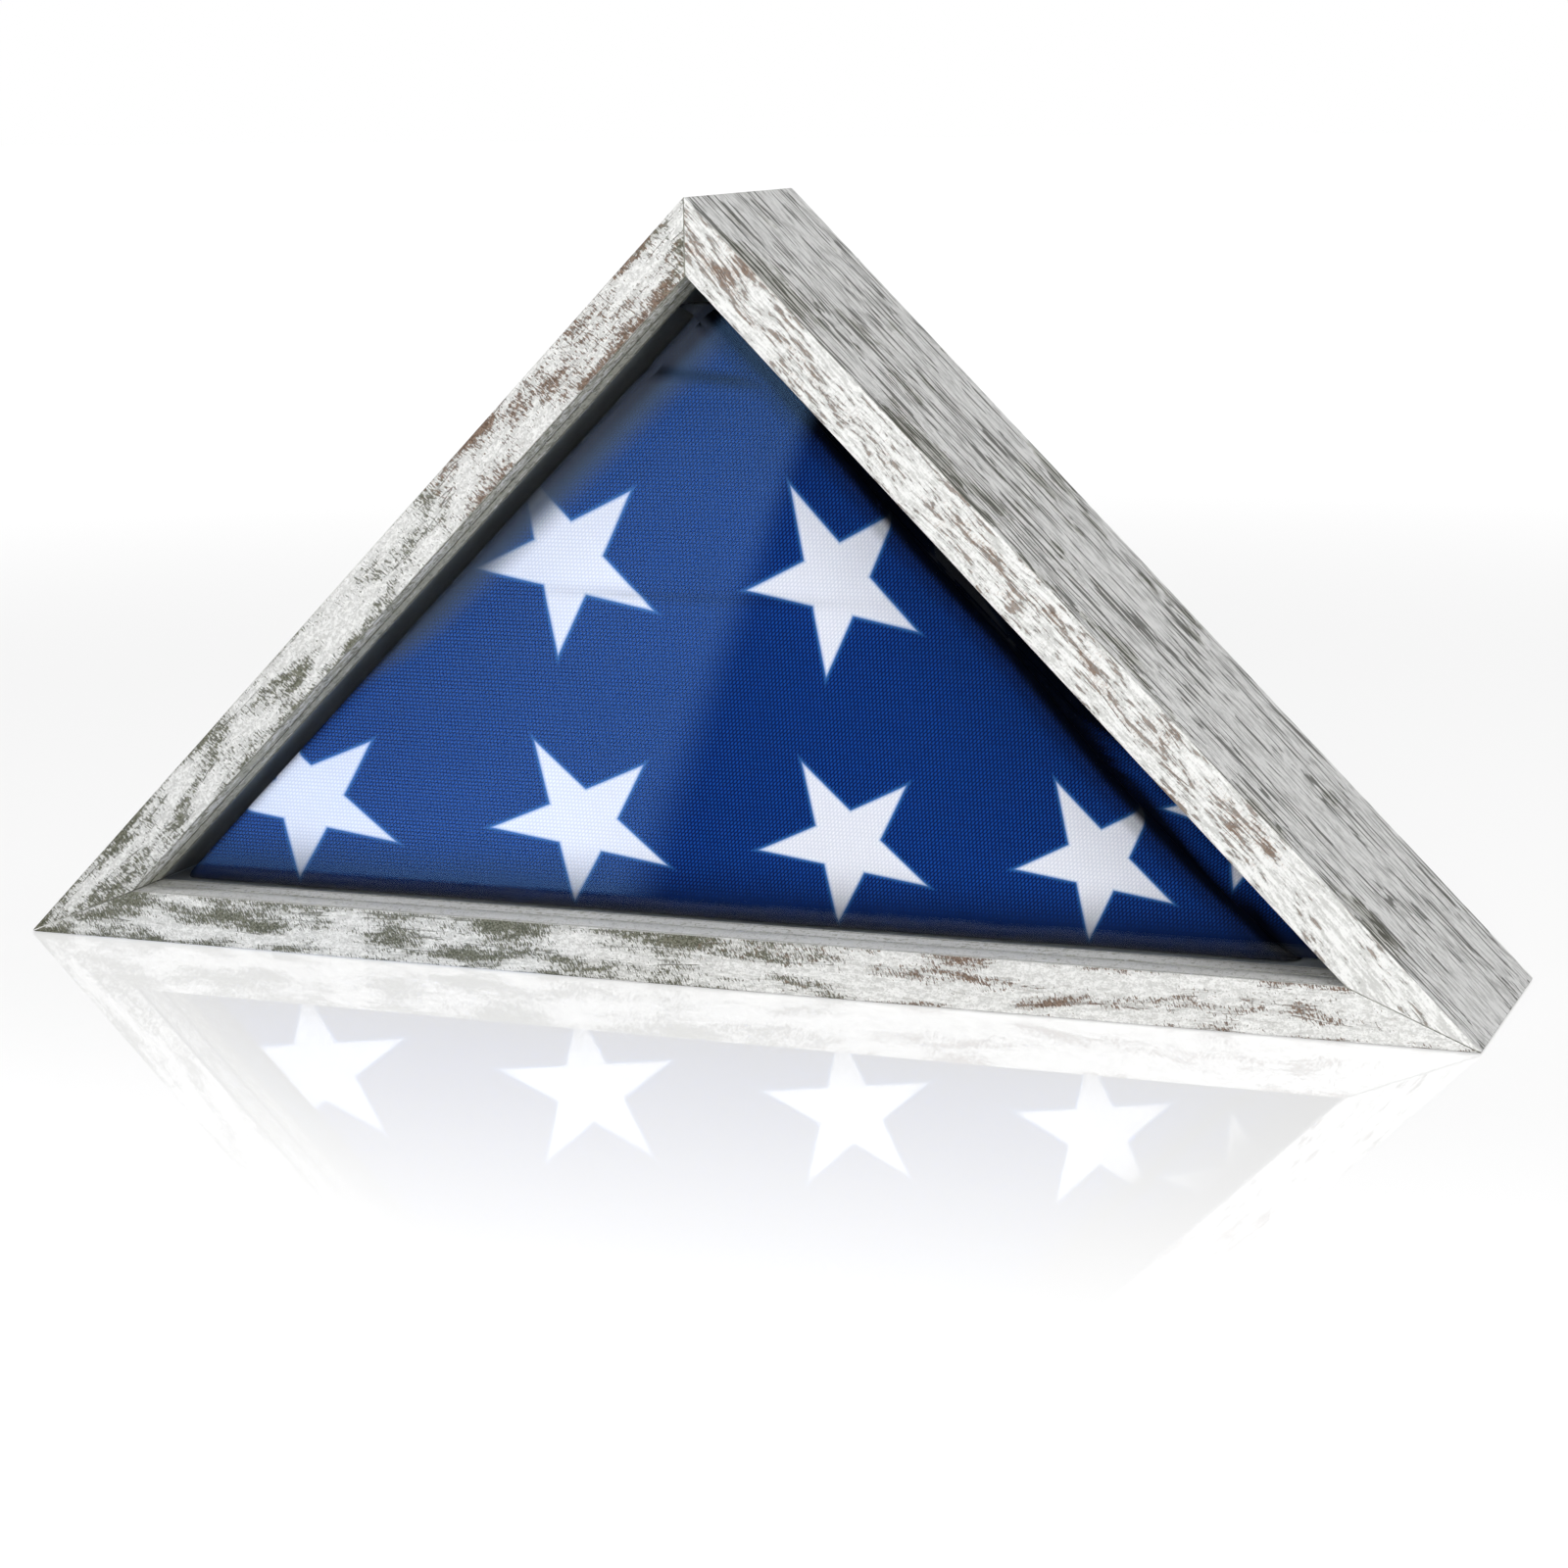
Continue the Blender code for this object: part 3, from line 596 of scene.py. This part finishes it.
def star_distance(g, print_uv):
    """How far a point is outside the nearest star's edge, in star radii."""
    cell = g.vector("ADD", print_uv, (50.5, 50.5, 0.0))
    inside = g.vector("SUBTRACT", g.vector("FRACTION", cell), (0.5, 0.5, 0.0))
    across, up = STAR_SHARE
    x, y, _ = g.split(g.vector("MULTIPLY", inside, (1.0 / across, 1.0 / up, 0.0)))
    radius = g.vector("LENGTH", g.joined(X=x, Y=y))
    angle = g.sub(g.math("ARCTAN2", y, x), math.radians(STAR_TURN))
    wedge = g.math("PINGPONG", angle, math.radians(36.0))
    beside = g.mul(radius, g.math("SINE", wedge))
    before = g.sub(g.mul(radius, g.math("COSINE", wedge)), 1.0)
    return g.add(g.mul(before, STAR_EDGE[0]), g.mul(beside, STAR_EDGE[1]))


def weave(g, yarn_uv, x, height):
    """How high the threads stand, 0 to 1.  The weft shows more on the left."""
    yarn = g.split(yarn_uv)
    warp, weft = g.mul(yarn["X"], math.tau), g.mul(yarn["Y"], math.tau)
    rows = g.mul(g.add(0.10, g.mul(g.step(x, 30.0, -90.0), 0.20)), 1.5)
    crown = g.mul(g.math("COSINE", g.sub(warp, weft)), 0.50)
    crown = g.add(g.add(crown, g.mul(g.math("COSINE", warp), 0.34)), 0.34)
    crown = g.math("ADD", crown, g.mul(g.math("COSINE", weft), rows), clamp=True)
    return g.add(0.3, g.mul(g.sub(crown, 0.3), g.step(height, 5.0, 11.0)))


def shade_cloth(g, colour, x, z, height):
    """Paint shade into the cloth's colour in the corners that the frame and the folds cover."""
    # mm from the packet's left side: its shade is wider high up and narrower low down
    from_left = g.mul(g.add(g.sub(x, z), REACH / MM), SQUARE)
    from_left = g.sub(from_left, g.mul(g.step(height, 15.0, 170.0), 7.0))
    from_left = g.add(from_left, g.mul(g.step(height, 80.0, 46.0), 9.0))
    # painted shadow of the left lip
    lit = g.add(0.05, g.mul(g.step(from_left, -1.0, 9.0), 0.95))
    colour = g.mix(lit, SHADED, colour)
    # painted shade: darker towards the bottom edge
    below = g.add(0.04, g.mul(g.step(height, -4.0, 21.0), 0.96))
    # painted shade in the gaps, under the fold and in the creases
    nook_shade = g.split(g.uv("nook_shade"))["X"]
    return g.mix(g.mul(below, g.sub(1.0, g.mul(nook_shade, 0.98))), NOOK_SHADE, colour)


def flag_material():
    """Dyed plain-woven cloth with white stars in a slanting grid, its weave with painted shade and
    highlight, and painted shade at its edges and folds.
    """
    g = Graph("flag_cloth")
    x, _, z = g.split(g.place())
    height = g.sub(z, FLAG_LOW.z / MM)
    yarn_uv = g.uv("yarn")
    crown = weave(g, yarn_uv, x, height)
    slub = g.noise(yarn_uv, (0.5, 0.7, 0.0), 2.0, 0.6)
    cloud = g.noise(yarn_uv, (0.016, 0.016, 0.0), 3.0)
    # painted shade and highlight: the crowns are lighter, the gaps darker
    lit = g.math("MULTIPLY", crown, g.add(0.6, g.mul(slub, 0.8)), clamp=True)
    blue = g.mix(g.mul(cloud, 0.2), g.mix(lit, *BLUE), BLUE_CLOUD)
    outside = star_distance(g, g.uv("print"))
    colour = g.mix(g.step(outside, 0.010, -0.006), blue, g.mix(lit, *WHITE))
    halo = g.mul(g.step(outside, 0.05, 0.0), g.step(outside, -0.03, 0.0))
    colour = g.mix(g.mul(halo, 0.5), colour, HALO)
    colour = shade_cloth(g, colour, x, z, height)
    return g.surface(colour, g.add(0.62, g.mul(crown, 0.1)), g.bump(crown, 0.04 * MM, 0.6),
                     Specular_IOR_Level=0.08)


def front_fold_inset(z):
    """How far the front fold's right edge stays inside the packet's, square to it."""
    z = z / MM
    upper = 3.8 * smooth(z, 50.0, 100.0) + 2.6 * smooth(z, 110.0, 155.0)
    return (13.8 - upper - 2.2 * (1.0 - smooth(z, 12.0, 38.0))) * MM


def second_print(x, z):
    """Flat coordinates for the second layer, whose star is a turned copy of one in front."""
    turn = math.radians(SECOND_TURN)
    x = (x - SECOND_STAR[0] * MM) * SECOND_SHRINK
    z = (z - SECOND_STAR[1] * MM) * SECOND_SHRINK
    return (PRINTED_STAR[0] * MM + x * math.cos(turn) - z * math.sin(turn),
            PRINTED_STAR[1] * MM + x * math.sin(turn) + z * math.cos(turn))


def half_width(z):
    """Half the packet's width at a height: two straight legs and a round apex."""
    straight = REACH - z
    centre = REACH - APEX_ROUND / SQUARE
    up = np.clip(z - centre, 0.0, 0.999 * APEX_ROUND)
    rounded = np.sqrt(APEX_ROUND ** 2 - up ** 2)
    return np.where(z > centre + APEX_ROUND * SQUARE, rounded, straight)


def creases(x, z):
    """The front ply's two creases, each 0 to 1: a faint one and a deep one near the apex."""
    low = 102.0 + 0.0003 * (x - 8.0) ** 2
    high = 162.4 - 0.10 * (x + 12.0)
    faint = np.exp(-((z - low) / 1.6) ** 2) * np.exp(-((x + 12.0) / 38.0) ** 2)
    deep = np.exp(-((z - high) / 1.8) ** 2) * (1.0 - smooth(x, 0.0, 36.0))
    return faint, deep


def swelling(x, z):
    """How far the front ply stands out or in: a soft pillow with two creases."""
    x, z = x / MM, z / MM
    pillow = 1.3 * np.exp(-((x + 12.0) / 95.0) ** 2 - ((z - 75.0) / 50.0) ** 2)
    drift = 0.30 * np.sin(x / 31.0 + 0.7) * np.sin(z / 24.0 + 1.1)
    drift += 0.12 * np.sin(x / 11.0 + z / 17.0)
    faint, deep = creases(x, z)
    return (pillow + drift - 0.7 * faint - 1.8 * deep) * MM


def crease_shade(x, z):
    """How much painted shade the bottoms of the two creases get."""
    faint, deep = creases(x / MM, z / MM)
    return 0.30 * faint + 0.9 * deep


def rolled(distance, radius):
    """Cloth going round an edge: where it is across and behind, for a flat distance inside."""
    angle = np.clip((radius - distance) / radius, 0.0, math.pi / 2.0)
    beyond = np.maximum(radius * (1.0 - math.pi / 2.0) - distance, 0.0)
    across = np.where(distance > radius, distance, radius - radius * np.sin(angle))
    return across, radius * (1.0 - np.cos(angle)) + beyond


class Sheet:
    """The flag as one sheet: columns of points from its left wrap through every ply."""

    def __init__(self):
        low = FLAG_LOW.z
        top = REACH - APEX_ROUND / SQUARE + 0.99 * APEX_ROUND
        wrap = np.linspace(-BOTTOM_WRAP, BOTTOM_ROLL * 1.6, WRAP_ROWS)
        rise = np.linspace(0.0, 1.0, FACE_ROWS + 1)[1:] ** 0.96
        self.flat_z = low + np.concatenate([wrap, wrap[-1] + (top - low - wrap[-1]) * rise])
        across, self.bottom_dip = rolled(self.flat_z - low, BOTTOM_ROLL)
        self.front_z = low + across
        # the plies inside don't go round the bottom: their edge stands just above it
        edge = 0.4 * MM
        self.inner_z = self.flat_z.copy()
        foot = np.linspace(0.0, 1.0, WRAP_ROWS) * (wrap[-1] - edge)
        self.inner_z[:WRAP_ROWS] = low + edge + foot
        self.columns, self.prints, self.yarns, self.nook_shades = [], [], [], []

    def add(self, x, y, z, flat_x, flat_z, nook_shade=0.0):
        """One column of points, where they lie on the flat cloth, and how much painted shade they
        get.
        """
        self.columns.append(np.stack([x, y + 0.0 * x, z + 0.0 * x], axis=-1))
        self.prints.append(print_coords(flat_x, flat_z))
        flat_x, flat_z = flat_x + 0.0 * flat_z, flat_z + 0.0 * flat_x
        self.yarns.append(np.stack([flat_x + WARP_LEAN * flat_z, flat_z], axis=-1) / WEAVE)
        nook_shade = nook_shade + 0.0 * flat_z
        self.nook_shades.append(np.stack([nook_shade, nook_shade], axis=-1))

    def front_ply(self):
        """Round the left side, across the face, and round the fold at the right."""
        z = self.front_z
        left = -half_width(z)
        right = half_width(z) - front_fold_inset(z) / SQUARE
        radius = FRONT_FOLD / 2.0
        face = FLAG_LOW.y + FRONT_GAP
        for distance in np.linspace(-SIDE_WRAP, SIDE_ROLL, WRAP_COLUMNS):
            across, dip = rolled(distance, SIDE_ROLL)
            x = left + across / SQUARE
            flat_x = x if distance > -SIDE_ROLL else left + distance / SQUARE
            self.add(x, face + dip + self.bottom_dip - swelling(x, z), z, flat_x, self.flat_z)
        start = left + SIDE_ROLL / SQUARE
        end = right - radius / SQUARE
        for share in np.linspace(0.0, 1.0, FACE_COLUMNS + 1)[1:]:
            x = start + (end - start) * share
            # painted shade: darker towards the fold's edge, and in the creases
            by_fold = 0.45 * (1.0 - smooth((end - x) / MM, 0.0, 5.0))
            nook_shade = np.maximum(by_fold, crease_shade(x, z))
            self.add(x, face + self.bottom_dip - swelling(x, z), z, x, self.flat_z, nook_shade)
        # round the fold, painted shade that deepens as it turns back
        for angle in np.linspace(0.0, math.pi, FOLD_COLUMNS + 1)[1:]:
            x = end + radius * math.sin(angle) / SQUARE
            y = face + radius * (1.0 - math.cos(angle)) + self.bottom_dip
            flat_x = end + radius * angle / SQUARE
            self.add(x, y - swelling(end, z) * (1.0 - angle / math.pi), z, flat_x, self.flat_z,
                     0.45 + 0.55 * smooth(angle, 0.1, 0.9))

    def ply_ends(self, number, slack):
        """Where a ply inside turns back, on the left and on the right."""
        z = self.inner_z
        wide = half_width(z)
        if number == 0:
            return 7.0 * MM - wide, wide - front_fold_inset(z) / SQUARE
        if number < 5:
            pocket = 15.0 * MM * smooth(z / MM, 56.0, 74.0)
            return 7.0 * MM - wide, wide - 1.4 * MM - pocket
        return 6.0 * MM + slack[0] - wide, wide - 0.8 * MM - slack[1]

    def inner_plies(self):
        """Every other ply, joined in turn at the left and at the right."""
        z = self.inner_z
        rng = np.random.default_rng(7)
        first = FLAG_LOW.y + FRONT_GAP + FRONT_FOLD
        second = first + 1.4 * MM
        last = FLAG_HIGH.y - 0.8 * MM
        depths = [first, *np.linspace(second, last, PLIES - 2)]
        fold_edge = half_width(z) - front_fold_inset(z) / SQUARE
        deep = smooth(z / MM, 58.0, 76.0)         # high up, what the front fold leaves open gets painted shade
        for number, y in enumerate(depths):
            slack = rng.uniform(0.6, 2.6, 2) * MM
            phase = rng.uniform(0.0, math.tau, 2)
            shift = rng.uniform(0.0, 0.3)         # m, so that each ply shows another print
            left, right = self.ply_ends(number, slack)
            start, end, sign = (right, left, -1.0) if number % 2 == 0 else (left, right, 1.0)
            # a ply's points begin a little in from the turn before it
            steps = SEEN_STEPS if number == 1 else PLY_STEPS
            for share in np.linspace(0.0, 1.0, steps + 1)[(1 if number else 3):]:
                x = start + (end - start) * share
                wave = 0.12 * MM * np.sin(x / (19.0 * MM) + phase[0])
                wave = wave * np.sin(z / (23.0 * MM) + phase[1])
                flat = second_print(x, z) if number == 1 else (x + shift, z)
                # painted shade: each ply is dark, save where it shows beside the front fold low
                # down
                seen = smooth((x - fold_edge) * SQUARE / MM, 0.3, 2.8)
                self.add(x, y + wave, z, *flat, 1.0 - seen * (1.0 - deep))
            if number + 1 < len(depths):
                radius = (depths[number + 1] - y) / 2.0
                for angle in np.linspace(0.0, math.pi, TURN_STEPS + 1)[1:-1]:
                    x = end + sign * radius * math.sin(angle) / SQUARE
                    dip = radius * (1.0 - math.cos(angle))
                    self.add(x, y + dip + wave, z, x + shift, z, deep)

    def build(self, name):
        """The mesh through all columns, with its print, yarn and painted shade as UV layers."""
        columns, rows = len(self.columns), len(self.flat_z)
        points = np.concatenate(self.columns)
        first = np.arange(columns - 1)[:, None] * rows + np.arange(rows - 1)[None, :]
        faces = np.stack([first, first + rows, first + rows + 1, first + 1], axis=-1)
        faces = faces.reshape(-1, 4)
        mesh = bpy.data.meshes.new(name)
        mesh.from_pydata(points.tolist(), [], faces.tolist())
        for layer, values in (("print", self.prints), ("yarn", self.yarns), ("nook_shade", self.nook_shades)):
            values = np.concatenate(values)
            uv = mesh.uv_layers.new(name=layer)
            uv.data.foreach_set("uv", values[faces.reshape(-1)].astype(np.float32).reshape(-1))
        mesh.shade_smooth()
        return added(name, mesh)


FILLER = (srgb("A8A799"), srgb("DEDDD3"))
FILLER_THICKNESS = 0.08 * MM
FILLER_SHARE = 0.998              # of the joint's size, so that it stays inside


def filler():
    g = Graph("wood_filler")
    grain = g.noise(g.place(), 1.6, 4.0, 0.6)
    return g.surface(g.mix(grain, *FILLER), g.add(0.7, g.mul(grain, 0.2)),
                     g.bump(grain, 0.05 * MM))


def glue_line(name, bar, angle, corner):
    """A film of wood filler in a mitre: a copy of a bar's end face, half way to its neighbour."""
    mesh = bpy.data.meshes.new(name)
    normal = Vector((math.cos(angle), 0.0, math.sin(angle)))
    work = bmesh.new()
    work.from_mesh(NODES[bar].data)
    work.transform(NODES[bar].matrix_world)

    def on_mitre(face):
        square = abs(face.normal.dot(normal)) >= 0.999
        return square and abs((face.verts[0].co - corner).dot(normal)) <= 1.0 * MM

    off = [face for face in work.faces if not on_mitre(face)]
    bmesh.ops.delete(work, geom=off, context="FACES")
    side = sum((vert.co - corner).dot(normal) for vert in work.verts) / len(work.verts)
    centre = sum((vert.co for vert in work.verts), Vector()) / len(work.verts)
    for vert in work.verts:
        vert.co = centre + (vert.co - centre) * FILLER_SHARE - normal * side
    bmesh.ops.solidify(work, geom=work.faces[:], thickness=FILLER_THICKNESS)
    work.to_mesh(mesh)
    work.free()
    line = added(name, mesh)
    line.data.materials.append(filler())
    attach(line, "case")


def make_glue_lines():
    apex = Vector((0.0, 0.0, HALF_BASE * MM))
    glue_line("mitre_filler_apex", "frame_left_leg", 0.0, apex)
    for side, name in ((-1.0, "left"), (1.0, "right")):
        corner = Vector((side * HALF_BASE * MM, 0.0, 0.0))
        angle = math.radians(90.0 - 22.5 * side)
        glue_line("mitre_filler_" + name, f"frame_{name}_leg", angle, corner)


def make_flag():
    sheet = Sheet()
    sheet.front_ply()
    sheet.inner_plies()
    flag = sheet.build("folded_flag_cloth")
    flag.data.materials.append(flag_material())
    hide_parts("folded_flag")
    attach(flag, "case")


# ---------------------------------------------------------------- studio
WHITE_LIGHT = (1.0, 1.0, 1.0)
FLOOR_GREY = (0.35, 0.35, 0.35)   # what the lamps light, and their shadows darken
FLOOR_GLOW = 0.84                 # near the case
FAR_GLOW = 1.1
GLOW_RISE = (0.5, 1.6)            # from the one to the other, metres from the middle
FLOOR_MIRROR = 0.30
MIRROR_FADE = (0.34, 0.03)        # from nothing to full, metres before the front
FLOOR_SIZE = 30.0
FLOOR_DROP = 0.2 * MM             # below the case, so that the two don't share a plane
FLOOR_BOUNCE = (0.8, 0.8, 0.8)    # the floor as other surfaces are lit by it
# glows that only reflections see, a painted reflection on the pane: the bright patch, the dark
# beside it, the grey behind
MIRRORED_GLOW = (0.60, 1.18, 2.27)
DARK_VEIL = (0.007, 0.010, 0.013)
NEUTRAL_VEIL = (0.55, 0.55, 0.55)
HAZE_RIGHT = (-0.0272, 0.3417)    # its edges on the floor: x at y = 0, and dx/dy
HAZE_LEFT = (-0.1930, 0.3332)
WORLD_DIM = 0.06                  # on the camera's side, where the pane would mirror it
WORLD_BRIGHT = 0.6                # behind the case
WORLD_TURN = 0.35                 # the change ends at this much of Y, either way
LAMPS = {
    # name: width and height, place, watts
    "key": ((0.7, 0.7), (0.35, -2.5, 0.95), 25.0),
    "overhead": ((0.8, 0.5), (0.1, -0.75, 1.7), 9.0),
    "fill": ((1.6, 1.2), (1.3, -2.0, 0.62), 8.5),
    "low": ((0.6, 0.4), (1.5, -0.75, 0.06), 11.0),
    "top": ((2.0, 2.0), (1.6, 0.6, 1.9), 4.5),
}
LAMP_AIM = Vector((0.0, 0.0, 0.1))


def seen_floor(g, x, y):
    """White and nearly even, with a faint mirror image that fades away from the case."""
    near = g.step(y, FRONT_Y - MIRROR_FADE[0], FRONT_Y - MIRROR_FADE[1])
    away = g.step(g.vector("LENGTH", g.joined(X=x, Y=y)), *GLOW_RISE)
    g.surface(FLOOR_GREY, 0.9, Specular_IOR_Level=0.0)
    glow = g.glow(WHITE_LIGHT, g.add(FLOOR_GLOW, g.mul(away, FAR_GLOW - FLOOR_GLOW)))
    lit = g.nodes.new("ShaderNodeAddShader")
    g.links.new(g.shader.outputs[0], lit.inputs[0])
    g.links.new(glow, lit.inputs[1])
    mirror = g.node("BsdfGlossy", None, Color=WHITE_LIGHT, Roughness=0.02).outputs[0]
    return g.shaders(g.mul(near, FLOOR_MIRROR), lit.outputs[0], mirror)


def mirrored_floor(g, x, y):
    """What the pane mirrors, a glow only reflections see: a bright patch on the left, dark beside
    it, grey behind the case, a painted reflection on the pane.
    """
    right = g.sub(x, g.add(HAZE_RIGHT[0], g.mul(y, HAZE_RIGHT[1])))
    left = g.sub(x, g.add(HAZE_LEFT[0], g.mul(y, HAZE_LEFT[1])))
    cloud = g.noise(g.joined(X=x, Y=y), 4.0, 2.0)
    share = g.mul(g.step(right, 0.012, -0.012), g.step(left, 0.0, 0.022))
    share = g.mul(share, g.add(0.5, g.mul(g.step(right, -0.25, -0.04), 0.5)))
    veil = g.mix(g.mul(share, g.add(0.8, g.mul(cloud, 0.4))), DARK_VEIL, MIRRORED_GLOW)
    return g.glow(g.mix(g.step(y, -0.02, 0.02), veil, NEUTRAL_VEIL), 1.0)


def make_floor():
    """One plane, which the camera, reflections and all other light see in three ways."""
    g = Graph("studio_floor")
    x, y, _ = g.split(g.node("TexCoord").outputs["Object"])
    path = g.node("LightPath")
    plain = g.node("BsdfDiffuse", None, Color=FLOOR_BOUNCE).outputs[0]
    by_light = g.shaders(path.outputs["Is Camera Ray"], plain, seen_floor(g, x, y))
    g.show(g.shaders(path.outputs["Is Glossy Ray"], by_light, mirrored_floor(g, x, y)))

    mesh = bpy.data.meshes.new("studio_floor")
    half = FLOOR_SIZE / 2.0
    corners = [(-half, -half, 0.0), (half, -half, 0.0), (half, half, 0.0), (-half, half, 0.0)]
    mesh.from_pydata(corners, [], [(0, 1, 2, 3)])
    floor = added("studio_floor", mesh)
    floor.location = (0.0, 0.0, LOW.z - FLOOR_DROP)
    floor.data.materials.append(g.material)


def make_world():
    """White to the camera.  As light, it is dim behind the camera and brighter ahead."""
    world = bpy.data.worlds.new("studio")
    world.use_nodes = True
    nodes, links = world.node_tree.nodes, world.node_tree.links
    back = nodes["Background"]
    coords = nodes.new("ShaderNodeTexCoord")
    axis = nodes.new("ShaderNodeSeparateXYZ")
    links.new(coords.outputs["Generated"], axis.inputs[0])
    ramp = nodes.new("ShaderNodeMapRange")
    ramp.interpolation_type = "SMOOTHSTEP"
    links.new(axis.outputs["Y"], ramp.inputs["Value"])
    ramp.inputs["From Min"].default_value = -WORLD_TURN
    ramp.inputs["From Max"].default_value = WORLD_TURN
    ramp.inputs["To Min"].default_value = WORLD_DIM
    ramp.inputs["To Max"].default_value = WORLD_BRIGHT
    path = nodes.new("ShaderNodeLightPath")
    strength = nodes.new("ShaderNodeMix")
    links.new(path.outputs["Is Camera Ray"], strength.inputs["Factor"])
    links.new(ramp.outputs["Result"], strength.inputs[2])
    strength.inputs[3].default_value = 1.0
    links.new(strength.outputs[0], back.inputs["Strength"])
    back.inputs["Color"].default_value = (*WHITE_LIGHT, 1.0)
    SCENE.world = world


def softbox(name, size, place, power):
    """A rectangular lamp aimed at the case, which reflections don't see."""
    data = bpy.data.lights.new(name, "AREA")
    data.shape = "RECTANGLE"
    data.size, data.size_y = size
    data.energy = power
    lamp = added(name, data)
    lamp.location = place
    lamp.rotation_euler = (LAMP_AIM - Vector(place)).to_track_quat("-Z", "Y").to_euler()
    lamp.visible_glossy = False


def make_studio():
    make_floor()
    make_world()
    for name, facts in LAMPS.items():
        softbox(name, *facts)
    SCENE.view_settings.view_transform = "Standard"


finish_frame()
finish_hardware()
make_glue_lines()
make_flag()
make_studio()
